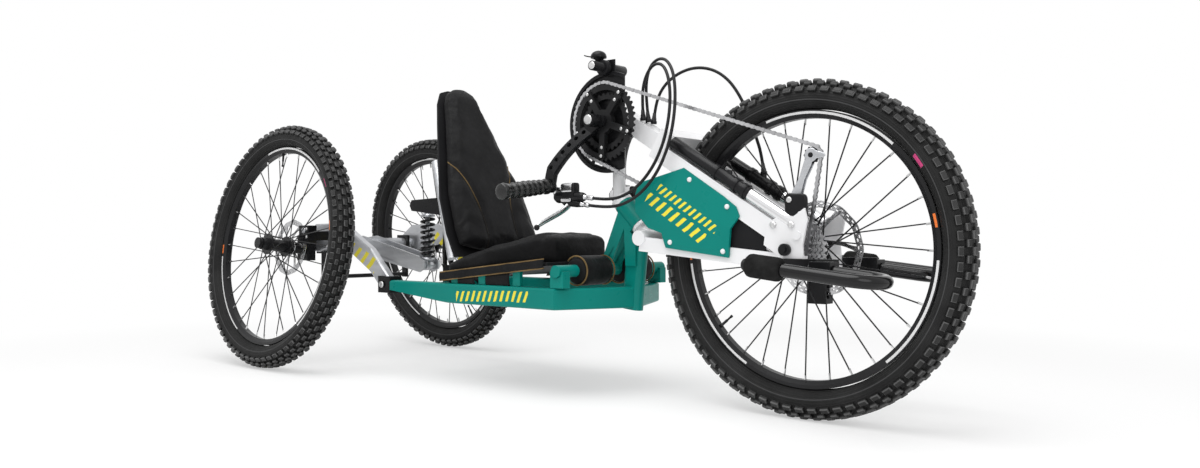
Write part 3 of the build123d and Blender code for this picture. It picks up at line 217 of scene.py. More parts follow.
hose_rubber = finish("hose_rubber", (0.012, 0.012, 0.013), 0.40, tone=0.25, grain_scale=900, grain=0.2,
                     gloss=0.22)
brake_route = np.array([
    (271.9, -106.7, 454.9), (316, -107, 450), (360, -106, 457), (402, -104, 480), (436, -101, 516),
    (460, -97, 562), (473, -93, 614), (475, -88, 666), (464, -80, 713), (440, -68, 744), (408, -54, 752),
    (378, -40, 742), (356, -30, 716), (346, -22, 682), (342.8, -14, 636.9)])
gear_route = np.array([
    (259.9, -106.7, 438.9), (310, -107, 433), (362, -106, 439), (410, -104, 464), (448, -101, 504),
    (473, -97, 554), (486, -92, 612), (487, -86, 672), (474, -76, 723), (446, -62, 755), (410, -46, 764),
    (375, -30, 753), (353, -16, 724), (346, -7, 684), (347.9, -1, 633.7)])
strut_route = np.array([
    (353.1, 12, 630.6), (356, 14, 670), (371, 20, 710), (401, 32, 739), (441, 46, 753), (484, 58, 746),
    (521, 66, 720), (549, 71, 680), (570, 74, 634), (587, 75, 588), (603, 72, 548), (611.5, 68, 506)])
HOSE_W = 0.007
for name, route, length in (("brake_hose", brake_route, 0.62), ("gear_cable", gear_route, 0.694)):
    tube, points = hose_tube(name, route, HOSE_W)
    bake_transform(tube)
    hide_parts("lever_hoses")
strut_lead = hose_line("strut_lead", strut_route)
strut_lead.data.bevel_depth = HOSE_W / 2
strut_lead.data.bevel_resolution = 4
strut_lead.data.use_fill_caps = True
strut_lead.data.materials.append(hose_rubber)
mount(strut_lead, "fork", "black_plastic", "strut_hose")
boot_profile = [(-3, 7.2), (3, 7.4), (4, 6), (10, 5.6), (10.5, 5), (22, 3.9)]
for name, route in (("brake", brake_route[::-1]), ("gear", gear_route[::-1]), ("strut_upper", strut_route),
                    ("strut_lower", strut_route[::-1])):
    boot = lathe("hose_boot_" + name, route[0] / 1000, route[1] - route[0], boot_profile, hose_rubber, steps=20)
    mount(boot, "fork", "black_plastic")


# Frame: two rounded box tubes, a front post, head tube and A-shaped plates, welded and painted teal
# green in one colour. A few plain slanted strokes of yellow stand on the rails.
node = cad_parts


def dress(names, mat, edge=0.0):
    """One finish for CAD nodes, with their sharp edges broken by a small bevel in millimetres."""
    for name in names:
        obj = node[name]
        obj.data.materials.clear()
        obj.data.materials.append(mat)
        if edge:
            weld = obj.modifiers.new("weld", "WELD")
            weld.merge_threshold = 1e-5
            bevel = obj.modifiers.new("edge", "BEVEL")
            bevel.width = edge / 1000
            bevel.segments = 2
            bevel.limit_method = "ANGLE"
            bevel.angle_limit = math.radians(40)
            bevel.harden_normals = True


def maths(operation, *values):
    """One Math node whose inputs are numbers or sockets, in the node tree that its sockets belong to."""
    tree = next(value.id_data for value in values if isinstance(value, bpy.types.NodeSocket))
    made = tree.nodes.new("ShaderNodeMath")
    made.operation = operation
    for socket, value in zip(made.inputs, values):
        if isinstance(value, bpy.types.NodeSocket):
            tree.links.new(value, socket)
        else:
            socket.default_value = value
    return made.outputs[0]


def within(value, low, high):
    """1 where low < value < high."""
    return maths("MULTIPLY", maths("GREATER_THAN", value, low), maths("LESS_THAN", value, high))


def distance(a, b):
    """The root of the sum of two squares."""
    return maths("SQRT", maths("ADD", maths("MULTIPLY", a, a), maths("MULTIPLY", b, b)))


def overlay(mat, mask, colour):
    """Lays one flat colour over the base colour where the mask is 1."""
    tree = mat.node_tree
    base = tree.nodes["Principled BSDF"].inputs["Base Color"]
    mix = tree.nodes.new("ShaderNodeMix")
    mix.data_type = "RGBA"
    mix.inputs[7].default_value = (*colour, 1)
    tree.links.new(mask, mix.inputs[0])
    tree.links.new(base.links[0].from_socket, mix.inputs[6])
    tree.links.new(mix.outputs[2], base)


def object_xyz(tree, centre=(0, 0, 0)):
    """Object coordinates measured from a point, as three sockets."""
    place = add_node(tree, "TexCoord").outputs["Object"]
    shift = add_node(tree, "Mapping", Vector=place, Location=[-c for c in centre])
    return add_node(tree, "SeparateXYZ", Vector=shift.outputs["Vector"]).outputs[:3]


def brush_row(mat, start, end, half_height, pitch, outside=0.0):
    """A row of ragged brush dabs on a side face: along the row from start to end in (x, z), the fraction of
    the distance over the pitch, shaken by noise, stays under a share; across it a shaken height cuts off, and
    so does the middle of the object, up to the distance outside."""
    tree = mat.node_tree
    x, y, z = object_xyz(tree)
    place = add_node(tree, "TexCoord").outputs["Object"]
    shake = add_node(tree, "TexNoise", Vector=place, Scale=0.9 / pitch, Detail=4.0).outputs["Fac"]
    run = math.hypot(end[0] - start[0], end[1] - start[1])
    cos, sin = (end[0] - start[0]) / run, (end[1] - start[1]) / run
    along = maths("ADD", maths("MULTIPLY_ADD", x, cos, -start[0] * cos - start[1] * sin),
                  maths("MULTIPLY", z, sin))
    over = maths("ADD", maths("MULTIPLY_ADD", x, -sin, start[0] * sin - start[1] * cos),
                 maths("MULTIPLY", z, cos))
    leaned = maths("MULTIPLY_ADD", over, -0.45, along)
    shaken = maths("MULTIPLY_ADD", shake, 0.22, maths("DIVIDE", leaned, pitch))
    dab = maths("LESS_THAN", maths("FRACT", shaken), 0.42)
    height = maths("MULTIPLY_ADD", shake, half_height * 0.7, half_height * 0.6)
    low = maths("LESS_THAN", maths("ABSOLUTE", over), height)
    mask = maths("MULTIPLY", maths("MULTIPLY", dab, low), within(along, 0.0, run))
    side = maths("GREATER_THAN", maths("ABSOLUTE", y), outside)
    overlay(mat, maths("MULTIPLY", mask, side), YELLOW)


def brushed(paint, name, *rows):
    """A copy of a finish with rows of brush dabs on it."""
    mat = paint.copy()
    mat.name = name
    for row in rows:
        brush_row(mat, *row)
    return mat


TEAL = (0.002, 0.205, 0.172)
YELLOW = (0.83, 0.72, 0.06)
RAIL_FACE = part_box("side_rails")[1][1] - 0.004
green_paint = finish("green_paint", TEAL, 0.30, tone=0.06, tone_scale=6, grain=0.06, grain_scale=220, coat=0.04,
                     gloss=0.12)
rail_dabs = ((-0.099, 0.221), (0.150, 0.231), 0.013, 0.020, RAIL_FACE)
dress(["side_rails"], brushed(green_paint, "rail_paint", rail_dabs))
dress(["front_post", "head_tube", "frame_cross_tubes"], green_paint)
dress(["head_plates", "seat_tabs"], green_paint, edge=1.2)


# Rear end: swing arms of bare alloy with a yellow band of plain strokes, on black pivot brackets; the
# axle tube, tie bar, shock yoke and shock are bolted between them.
alloy = finish("alloy", (0.52, 0.53, 0.55), 0.36, metal=0.9, tone=0.10, grain=0.10, grain_scale=260,
               stretch=(1, 1, 9))
black_metal = finish("black_metal", (0.010, 0.010, 0.011), 0.25, tone=0.3, grain=0.10, grain_scale=420,
                     gloss=0.16)
arm_dabs = ((-0.62, 0.362), (-0.44, 0.285), 0.022, 0.034)
dress(["swing_arms"], brushed(alloy, "arm_alloy", arm_dabs), edge=1.0)
dress(["rear_axle_tube"], alloy)
dress(["shock_yoke"], alloy, edge=0.8)
dress(["rear_pivot_brackets", "tie_bar", "stub_axles", "back_posts"], black_metal, edge=1.2)


# Shock: a turned alloy body with a steel shaft in a black coil spring between two collars, hung on a pin
# between the yoke's plates and another between the posts.
SILVER = "silver_metal"
SHOCK_X = -0.448
SHOCK_LOW_Z = 0.286
SHOCK_TOP_Z = 0.454
COIL_TURNS = 7.5
COIL_R = 0.0180
COIL_FOOT_Z = 0.3085
COIL_TALL = 0.1130
lift = np.linspace(0, 1, 300)
coil_angle = 2 * math.pi * COIL_TURNS * lift
coil = joined(SHOCK_X + COIL_R * np.cos(coil_angle), COIL_R * np.sin(coil_angle),
              COIL_FOOT_Z + COIL_TALL * lift)
shock_profile = [(10, 9), (12, 13.5), (15, 20.5), (20.5, 20.5), (21, 13.5), (78, 13.5), (80, 11.5), (81, 6),
                 (136, 6), (136.5, 20.5), (142, 20.5), (145, 12.5), (158, 9.5)]
eye_profile = [(0, 7.2), (0, 14), (1, 15), (23, 15), (24, 14), (24, 7.2)]
shock_parts = [
    lathe("shock_body", (SHOCK_X, 0, SHOCK_LOW_Z), (0, 0, 1), shock_profile, alloy, steps=36),
    tube_along("shock_coil", coil, 0.0034, black_metal, (0, 0, 1)),
    lathe("shock_eye_low", (SHOCK_X, -0.012, SHOCK_LOW_Z), (0, 1, 0), eye_profile, alloy),
    lathe("shock_eye_top", (SHOCK_X, -0.012, SHOCK_TOP_Z), (0, 1, 0), eye_profile, alloy)]
for piece in shock_parts:
    mount(piece, "chassis", SILVER, "rear_shock")


# Wheels: black box-section rims with printed silver arcs and a valve each, laced with black spokes to
# black hubs, and steel brake discs with two rows of slots on six curved arms.
BLACK = "black_metal"
CAMBER = 8.0
HUB_Z = (343 * math.cos(math.radians(CAMBER)) + 15 * math.sin(math.radians(CAMBER))) / 1000
wheels = {
    "front": {"centre": (0.75, 0.0, 0.343), "camber": 0.0, "disc_r": 0.100, "disc_y": 0.052, "valve": 219.375},
    "rear_right": {"centre": (-0.75, -0.295, HUB_Z), "camber": -CAMBER, "disc_r": 0.080, "disc_y": 0.044,
                   "valve": 95.625},
    "rear_left": {"centre": (-0.75, 0.295, HUB_Z), "camber": CAMBER, "disc_r": 0.080, "disc_y": -0.044,
                  "valve": 298.125},
}
SPOKE_COUNT = 32
RIM_R = 0.264
DISC_CELLS = 180
DISC_CIRCLES = (0.0155, 0.0122, 0.0095, 0.0070, 0.0043, 0.0)
SLOT_STEP = 5
SLOT_CELLS = 2
DISC_T = 0.0018
ARM_STEPS = 14
RIM_SILVER = (0.75, 0.75, 0.75)
RIM_ORANGE = (0.85, 0.20, 0.04)
rim_marks = [(0.02, 0.17, RIM_SILVER), (0.0, 0.015, RIM_ORANGE), (0.36, 0.49, RIM_SILVER),
             (0.525, 0.54, RIM_ORANGE), (0.63, 0.80, RIM_SILVER)]
valve_profile = [(0, 4.2), (3, 4.2), (3.5, 3), (20, 3), (20.5, 2.2), (31, 2.2), (31.5, 3), (36, 3), (36.5, 1.2)]
carrier_profile = [(-1.6, 16.5), (-1.6, 23.5), (-1.1, 24), (1.1, 24), (1.6, 23.5), (1.6, 16.5)]
disc_steel = finish("disc_steel", (0.56, 0.56, 0.57), 0.27, metal=1.0, tone=0.12, grain_scale=900)
hub_black = finish("hub_black", (0.012, 0.012, 0.013), 0.3, tone=0.2, grain_scale=700, gloss=0.25)
nipple_silver = finish("nipple_silver", (0.62, 0.62, 0.62), 0.3, metal=1.0, grain_scale=900)


def wheel_place(key, points):
    """Points in a wheel's own axes (forward, along the axle, up) put at its hub and leaned by its camber."""
    lean = math.radians(wheels[key]["camber"])
    turn = np.array([[1, 0, 0], [0, math.cos(lean), -math.sin(lean)], [0, math.sin(lean), math.cos(lean)]])
    return points @ turn.T + np.array(wheels[key]["centre"])


def repeated(faces, count, size):
    """The faces of one shape, repeated for each of its copies."""
    return (np.asarray(faces)[None] + size * np.arange(count)[:, None, None]).reshape(count * len(faces), -1)


def band_faces(rings, sides):
    """Quads between rings of points that are numbered ring after ring."""
    return [(k + i, k + (i + 1) % sides, k + sides + (i + 1) % sides, k + sides + i)
            for k in range(0, sides * (rings - 1), sides) for i in range(sides)]


def thicken(piece, thickness, offset=-1.0):
    """Raises a wall of one thickness on a sheet."""
    wall = piece.modifiers.new("wall", "SOLIDIFY")
    wall.thickness = thickness
    wall.offset = offset


def brake_disc(key, wheel):
    """The ring is polar cells between six circles, its edges waved by a cosine of twelve times the angle, with
    two rows of slots left open and a wall raised on the rest. The arms are bars whose angle eases to zero as
    their radius grows, and the carrier is a short turned ring on the hub."""
    a = full_turn(DISC_CELLS)
    circles = np.tile(wheel["disc_r"] - np.array(DISC_CIRCLES), (DISC_CELLS, 1))
    circles[:, 0] += 0.0012 * np.cos(12 * a)
    circles[:, 5] -= 0.0010 * (1 - np.cos(12 * a))
    points = joined(circles * np.cos(a)[:, None], wheel["disc_y"], circles * np.sin(a)[:, None])
    index = np.arange(circles.size).reshape(circles.shape)
    index = np.concatenate([index, index[:1]])
    cells = joined(index[:-1, :-1], index[:-1, 1:], index[1:, 1:], index[1:, :-1])
    keep = np.ones(cells.shape[:2], bool)
    keep[np.arange(DISC_CELLS) % SLOT_STEP < SLOT_CELLS, 1] = False
    keep[(np.arange(DISC_CELLS) + 3) % SLOT_STEP < SLOT_CELLS, 3] = False
    ring = solid("brake_ring_" + key, wheel_place(key, points), cells[keep], disc_steel)
    thicken(ring, DISC_T, offset=0.0)

    s = np.linspace(0, 1, ARM_STEPS)
    arm_r = 0.019 + (wheel["disc_r"] - 0.0325) * s
    half_w = np.interp(s, [0, 0.25, 0.8, 1], [0.0075, 0.0042, 0.0040, 0.0060])
    lead = 0.55 * (1 - s) ** 1.4
    side = np.array([-1, 1, 1, -1])
    level = wheel["disc_y"] + np.array([-1, -1, 1, 1]) * DISC_T / 2
    turn = full_turn(6)[:, None, None] + (lead[:, None] + side * (half_w / arm_r)[:, None])[None]
    points = joined(arm_r[:, None] * np.cos(turn), level, arm_r[:, None] * np.sin(turn))
    last = 4 * ARM_STEPS
    faces = [(a, d, c, b) for a, b, c, d in band_faces(ARM_STEPS, 4)]
    faces += [(0, 1, 2, 3), (last - 1, last - 2, last - 3, last - 4)]
    arms = solid("brake_arms_" + key, wheel_place(key, points), repeated(faces, 6, last), disc_steel)
    hub, beyond = wheel_place(key, np.array([(0, wheel["disc_y"], 0), (0, wheel["disc_y"] + 0.1, 0)]))
    carrier = lathe("disc_carrier_" + key, hub, beyond - hub, carrier_profile, disc_steel)
    for piece in (ring, arms, carrier):
        mount(piece, key + "_wheel", "steel", "disc_" + key)


def spoke_nipples(key):
    """A tapered six-sided sleeve at each spoke's end on the rim, in turn on either side of its middle."""
    side = full_turn(6)[None, :, None]
    a = full_turn(SPOKE_COUNT)
    axle = np.array([0, 1, 0])
    across = np.where(np.arange(SPOKE_COUNT) % 2, 0.003, -0.003)[:, None] * axle
    radial = joined(np.cos(a), 0, np.sin(a))
    tangent = joined(-np.sin(a), 0, np.cos(a))
    ends = [radial * (RIM_R - depth) + across for depth in (0.0005, 0.013)]
    ring = 0.0024 * (np.cos(side) * tangent[:, None] + np.sin(side) * axle)
    points = np.concatenate([ends[0][:, None] + ring, ends[1][:, None] + 0.8 * ring], axis=1)
    faces = repeated(band_faces(2, 6), SPOKE_COUNT, 12)
    return solid("nipples_" + key, wheel_place(key, points), faces, nipple_silver)


for key, wheel in wheels.items():
    rim_black = finish("rim_black_" + key, (0.010, 0.010, 0.011), 0.30, tone=0.25, grain_scale=380, gloss=0.25)
    x, y, z = object_xyz(rim_black.node_tree, wheel["centre"])
    round_share = maths("MULTIPLY_ADD", maths("ARCTAN2", z, x), 1 / (2 * math.pi), 0.5)
    print_band = within(distance(x, z), 0.2725, 0.2775)
    for start, end, colour in rim_marks:
        overlay(rim_black, maths("MULTIPLY", print_band, within(round_share, start, end)), colour)
    dress(["rim_" + key], rim_black)
    dress(["hub_" + key], hub_black)
    brake_disc(key, wheel)
    valve_angle = math.radians(wheel["valve"])
    out = np.array([math.cos(valve_angle), 0, math.sin(valve_angle)])
    foot, tip = wheel_place(key, np.array([out * RIM_R, out * (RIM_R - 0.04)]))
    valve = lathe("valve_" + key, foot, tip - foot, valve_profile, hub_black, steps=14)
    mount(valve, key + "_wheel", BLACK)
    mount(spoke_nipples(key), key + "_wheel", SILVER)


# Tyres: black rubber casings with ribbed sidewalls, moulded with staggered rows of square lugs whose edges
# are painted grey, partly as wear and partly as a painted highlight, and seated on the rims by their beads.
def emboss(mat, height, strength, deep):
    """Lays one more bump over the finish's own grain."""
    tree = mat.node_tree
    bump = add_node(tree, "Bump", Height=height, Strength=strength, Distance=deep,
                    Normal=tree.nodes["grain"].outputs["Normal"])
    tree.links.new(bump.outputs["Normal"], tree.nodes["Principled BSDF"].inputs["Normal"])


CASING_MID_R = 0.308
CASING_RISE = 0.027
CASING_HALF_W = 0.0285
RIB_ANGLE = 190.0
casing_rubber = finish("casing_rubber", (0.016, 0.016, 0.016), 0.60, tone=0.3, tone_scale=14, grain=0.25,
                       grain_scale=350, gloss=0.15)
tree = casing_rubber.node_tree
uv = add_node(tree, "UVMap").outputs["UV"]
round_share, side_share = add_node(tree, "SeparateXYZ", Vector=uv).outputs[:2]
emboss(casing_rubber, maths("SINE", maths("MULTIPLY", side_share, RIB_ANGLE)), 0.35, 0.0008)
for low, high in ((0.16, 0.175), (0.825, 0.84)):
    overlay(casing_rubber, within(side_share, low, high), (0.055, 0.055, 0.056))
for low, high in ((0.085, 0.150), (0.850, 0.915)):
    patch = maths("MULTIPLY", within(side_share, low, high), within(round_share, 0.338, 0.353))
    overlay(casing_rubber, patch, (0.62, 0.07, 0.22))
lug_rubber = finish("lug_rubber", (0.011, 0.011, 0.011), 0.42, tone=0.45, tone_scale=60, grain=0.3,
                    grain_scale=600, gloss=0.22)
# The lugs' upper edges are painted a lighter grey: partly wear, partly a painted highlight standing in for the
# lamps' glint.
edge_glint_and_wear = lug_rubber.node_tree.nodes.new("ShaderNodeAttribute")
edge_glint_and_wear.attribute_name = "glint_and_wear"
overlay(lug_rubber, edge_glint_and_wear.outputs["Fac"], (0.13, 0.13, 0.13))

# Share of that painted highlight and wear grey at each ring of a lug's points: foot, top of the sides, top
# face.
LUG_GLINT_AND_WEAR = (-1.2, 1.0, 0.1)
LUGS_ROUND = 72
LUG_POINTS = 12
LUG_ROWS = [
    {"phase": 0.0, "y": 0.0072, "r": 0.3350, "tilt": 3.0, "long": 0.0080, "wide": 0.0052, "tall": 0.0076},
    {"phase": 0.5, "y": 0.0178, "r": 0.3300, "tilt": 24.0, "long": 0.0070, "wide": 0.0042, "tall": 0.0076},
    {"phase": 0.0, "y": 0.0262, "r": 0.3195, "tilt": 52.0, "long": 0.0088, "wide": 0.0050, "tall": 0.0066},
]


def lugs(row, hand):
    """Chamfered blocks round the tyre: centre at (r, y), leaned by tilt from the radius toward the side."""
    shift = row["phase"] + (0.25 if hand > 0 else 0.0)
    a = 2 * math.pi * (np.arange(LUGS_ROUND) + shift) / LUGS_ROUND - math.pi / 2
    out = joined(np.cos(a), 0, np.sin(a))
    forward = joined(-np.sin(a), 0, np.cos(a))
    side = np.array([0.0, hand, 0.0])
    tilt = math.radians(row["tilt"])
    up = out * math.cos(tilt) + side * math.sin(tilt)
    over = side * math.cos(tilt) - out * math.sin(tilt)
    corner = np.array([(-1, -1), (1, -1), (1, 1), (-1, 1)])
    levels = [(1.0, -0.004), (0.96, row["tall"] * 0.72), (0.74, row["tall"])]
    local = np.array([(cx * row["long"] * k, cy * row["wide"] * k, h) for k, h in levels for cx, cy in corner])
    centre = out * row["r"] + side * row["y"]
    return (centre[:, None] + local[:, :1] * forward[:, None] + local[:, 1:2] * over[:, None]
            + local[:, 2:] * up[:, None])


def lug_faces(hand):
    """Four sides, four chamfers and a top, wound to face outwards on either hand of the tyre."""
    faces = band_faces(3, 4) + [(8, 9, 10, 11)]
    return [f[::-1] for f in faces] if hand > 0 else faces


turn = full_turn(160) - math.pi / 2
bend = np.radians(np.linspace(-163, 163, 49))
section_r = CASING_MID_R + CASING_RISE * np.cos(bend)
section_y = CASING_HALF_W * np.sin(bend) * (1 - 0.10 * np.cos(bend))
casing_grid = joined(section_r * np.cos(turn)[:, None], section_y, section_r * np.sin(turn)[:, None])
lug_sets = [(row, hand) for row in LUG_ROWS for hand in (-1.0, 1.0)]
lug_points = np.concatenate([lugs(row, hand) for row, hand in lug_sets]).reshape(-1, 3)
every_lug = np.concatenate([repeated(lug_faces(hand), LUGS_ROUND, LUG_POINTS) + LUG_POINTS * LUGS_ROUND * i
                            for i, (row, hand) in enumerate(lug_sets)])
for key in wheels:
    casing = skin("casing_" + key, wheel_place(key, casing_grid), casing_rubber, wrap_u=True)
    knobs = solid("lugs_" + key, wheel_place(key, lug_points), every_lug, lug_rubber)
    # Each lug's points carry their share of the painted highlight and wear grey.
    glint_and_wear = knobs.data.attributes.new("glint_and_wear", "FLOAT", "POINT")
    glint_and_wear.data.foreach_set("value", np.tile(np.repeat(LUG_GLINT_AND_WEAR, 4), len(lug_points) // LUG_POINTS))
    for piece in (casing, knobs):
        mount(piece, key + "_wheel", "tyre_rubber", "tyre_" + key)


# Fork: white painted mast, top tube, crown, stays and dropouts, with black web plates between, chromed
# struts in black bodies with turning knobs, and folded green side panels held by white screws.
def studs(name, centres, axis, radius, height, mat):
    """Domed screw heads: rings at the shares in STUD_RINGS of the radius and of the height along an axis."""
    around = ring_round(axis, (0.3, 0.1, 0.95), STUD_SIDES)
    wide, rise = np.array(STUD_RINGS).T[:, :, None, None]
    local = (radius * wide * around + height * rise * np.array(axis)).reshape(-1, 3)
    points = np.asarray(centres)[:, None] + local
    top = np.arange(len(local) - STUD_SIDES, len(local)) + len(local) * np.arange(len(points))[:, None]
    walls = repeated(band_faces(len(STUD_RINGS), STUD_SIDES), len(points), len(local))
    return solid(name, points, walls.tolist() + top.tolist(), mat, smooth=True)


def side_studs(name, node_name, spots, hand, radius, height, mat):
    """Screw heads on a CAD node's outer face at places (x, z), found by looking in from one side."""
    seen = node[node_name].evaluated_get(bpy.context.evaluated_depsgraph_get())
    at = [tuple(seen.ray_cast((x, hand * LOOK_FROM, z), (0, -hand, 0))[1]) for x, z in spots]
    return studs(name, np.array(at), (0, hand, 0), radius, height, mat)


HANDS = ((-1, "right"), (1, "left"))
LOOK_FROM = 0.6
STUD_SIDES = 12
STUD_RINGS = [(1.0, -0.3), (1.0, 0.4), (0.86, 0.8), (0.5, 0.98)]
STAY_DIRECTION = np.array([-0.861, 0, 0.509])
STRUT_NORMAL = np.array([0.509, 0, 0.861])
STRUT_FOOT = np.array([0.750, 0, 0.343]) + 0.0353 * STRUT_NORMAL
STRUT_Y = 0.068
KNOB_RISE = 0.0128
PANEL_SCREWS = [(0.518, 0.489), (0.613, 0.430), (0.605, 0.338), (0.470, 0.356)]
DROPOUT_BOLTS = [(0.722, 0.392), (0.762, 0.392), (0.772, 0.318)]
white_paint = finish("white_paint", (0.80, 0.80, 0.81), 0.30, tone=0.03, tone_scale=5, grain=0.05,
                     grain_scale=200, coat=0.3)
web_black = finish("web_black", (0.010, 0.010, 0.011), 0.5, tone=0.25, grain=0.25, grain_scale=700, gloss=0.10)
chrome = finish("chrome", (0.75, 0.75, 0.76), 0.14, metal=1.0, tone=0.05, grain=0.03, grain_scale=900)
panel_paint = brushed(green_paint, "panel_paint", ((0.438, 0.476), (0.588, 0.382), 0.010, 0.015),
                      ((0.408, 0.456), (0.558, 0.362), 0.014, 0.021))
dress(["upper_stays", "lower_stays"], white_paint, edge=3.0)
dress(["steerer_mast"], white_paint)
dress(["fork_webs"], web_black, edge=0.8)
dress(["side_panels"], panel_paint, edge=1.5)
dress(["dropouts"], white_paint, edge=1.0)
dress(["strut_tubes"], chrome)
dress(["strut_bodies", "front_axle"], black_metal, edge=0.8)
knob_profile = [(0, 7), (4, 7), (4.5, 9), (11.5, 9), (12.5, 7.8), (13, 3)]
for hand, name in HANDS:
    for place_name, s in (("rebound", 0.232), ("lockout", 0.296)):
        foot = STRUT_FOOT + s * STAY_DIRECTION + KNOB_RISE * STRUT_NORMAL + (0, hand * STRUT_Y, 0)
        knob = lathe("strut_knob_" + place_name + "_" + name, foot, STRUT_NORMAL, knob_profile, black_metal,
                     steps=48, teeth=12, bite=0.05)
        mount(knob, "fork", BLACK)
for hand, name in HANDS:
    screws = side_studs("panel_screws_" + name, "side_panels", PANEL_SCREWS, hand, 0.0055, 0.0035, white_paint)
    bolts = side_studs("dropout_bolts_" + name, "dropouts", DROPOUT_BOLTS, hand, 0.0072, 0.005, nipple_silver)
    mount(screws, "fork", "white_paint")
    mount(bolts, "fork", SILVER)


# Leg rests: black tube loops clamped to the dropouts, with closed-cell foam sleeves pushed on their outer
# ends and a black plug closing each tube.
LOOP_END = np.array([0.735, 0.2, 0.316])
LEG_SLOPE = math.atan2(22, 200)
LEG_AXIS = (math.cos(LEG_SLOPE), 0, -math.sin(LEG_SLOPE))
loop_black = finish("loop_black", (0.006, 0.006, 0.0065), 0.16, tone=0.3, grain=0.04, grain_scale=300,
                    gloss=0.30)
foam = finish("foam", (0.014, 0.014, 0.014), 0.9, tone=0.35, tone_scale=60, grain=0.7, grain_scale=420,
              gloss=0.08)
dress(["leg_rest_loops"], loop_black)
dress(["leg_rest_brackets"], black_metal, edge=1.5)
foam_profile = [(3, 13), (3.5, 18.5), (7, 21.5), (12, 22.5), (65, 22.5), (69.5, 21.8), (73.5, 18.5), (74.5, 13)]
plug_profile = [(-9, 2), (-8.8, 7), (-7.8, 9.5), (-5.8, 11.2), (-3, 11.8), (3.6, 11.8)]
for hand, name in HANDS:
    loop_end = LOOP_END * (1, hand, 1)
    sleeve = lathe("foam_sleeve_" + name, loop_end, LEG_AXIS, foam_profile, foam)
    mount(sleeve, "fork", "foam", "leg_rest_foams")
    plug = lathe("loop_plug_" + name, loop_end, LEG_AXIS, plug_profile, hub_black, steps=24)
    mount(plug, "fork", BLACK)


# Brake calipers: black machined bodies that straddle the discs, each with a piston cap and steel bolts. The
# same bolts close the swing arm pivots.
dress(["rear_calipers", "front_caliper"], black_metal, edge=3.0)
REAR_BOLTS = [(-0.652, 0.366), (-0.652, 0.388)]
REAR_CAP = (-0.668, 0.384)
caliper_faces = [("rear_calipers", "rear_right", -1, REAR_BOLTS, REAR_CAP, "chassis"),
                 ("rear_calipers", "rear_left", 1, REAR_BOLTS, REAR_CAP, "chassis"),
                 ("front_caliper", "front", 1, [(0.737, 0.240), (0.765, 0.240)], (0.751, 0.266), "fork")]
for name, place_name, hand, bolt_xz, cap_xz, body in caliper_faces:
    bolts = side_studs("caliper_bolts_" + place_name, name, bolt_xz, hand, 0.0042, 0.0035, nipple_silver)
    cap = side_studs("piston_cap_" + place_name, name, [cap_xz], hand, 0.0095, 0.0022, alloy)
    mount(bolts, body, SILVER)
    mount(cap, body, SILVER)
for hand, name in HANDS:
    bolt = side_studs("pivot_bolt_" + name, "rear_pivot_brackets", [(-0.397, 0.240)], hand, 0.0088, 0.0035,
                      nipple_silver)
    mount(bolt, "chassis", SILVER)


# Drive: black toothed rings on a spider with steel bolts, a black slotted guard behind them, bent black
# crank arms with drilled holes, and a cassette of steel cogs on the front hub. The cogs' steel is painted
# lighter than the chain's, partly as their polish and partly as painted light against the shade behind the
# dropout.
guard_black = finish("guard_black", (0.009, 0.009, 0.010), 0.30, tone=0.25, grain=0.15, grain_scale=500,
                     gloss=0.16)
ring_black = finish("ring_black", (0.018, 0.018, 0.019), 0.32, metal=0.2, tone=0.4, grain_scale=600, gloss=0.16)
# Lighter than the chain's steel: partly the cogs' polish, partly painted light lifting them out of the shade
# behind the dropout.
polished_lit_cog_steel = finish("polished_lit_cog_steel", (0.72, 0.72, 0.73), 0.26, metal=1.0, tone=0.2, grain=0.1, grain_scale=600)
dress(["chain_guard"], guard_black, edge=0.8)
dress(["chainrings"], ring_black)
dress(["crank_arms"], black_metal, edge=2.5)
dress(["crank_axle", "accessory_bar"], black_metal, edge=0.8)
dress(["cassette"], polished_lit_cog_steel)
CRANK = np.array([0.258, 0.0, 0.634])
AXLE_END = 0.110
bolt_turn = -np.radians(72 * np.arange(5) + 20)
for name, radius, bolt_y in (("outer", 0.080, -0.0615), ("inner", 0.060, -0.0602)):
    at = CRANK + joined(radius * np.cos(bolt_turn), bolt_y, radius * np.sin(bolt_turn))
    mount(studs("ring_bolts_" + name, at, (0, -1, 0), 0.0042, 0.0016, nipple_silver), "crank", SILVER)
for hand, name in HANDS:
    at = CRANK + np.array([[0, hand * AXLE_END, 0]])
    mount(studs("axle_cap_" + name, at, (0, hand, 0), 0.0118, 0.003, nipple_silver), "crank", SILVER)


# Chain: bushed roller chain of 12.7 mm pitch, steel plates riveted in pairs, laid round the big ring, a
# cog and the tension pulley.
PITCH = 0.0127
CHAIN_Y = -0.052
PLATE_R = 0.0042
PLATE_WAIST = 0.0026
PLATE_T = 0.0009
ROLLER_R = 0.0036
ROLLER_HALF = 0.0034
ROLLER_SIDES = 8
chain_rounds = [(0.258, 0.634, 0.092), (0.791, 0.528, 0.020), (0.75, 0.343, 0.031)]
steel = finish("steel", (0.46, 0.46, 0.47), 0.32, metal=1.0, tone=0.2, grain=0.15, grain_scale=600)


def tangent_angle(one, other):
    """The angle on both circles (x, z, r) where a belt taken clockwise leaves one and meets the other."""
    (x0, z0, r0), (x1, z1, r1) = one, other
    return math.atan2(z1 - z0, x1 - x0) + math.pi / 2 - math.asin((r1 - r0) / math.hypot(x1 - x0, z1 - z0))


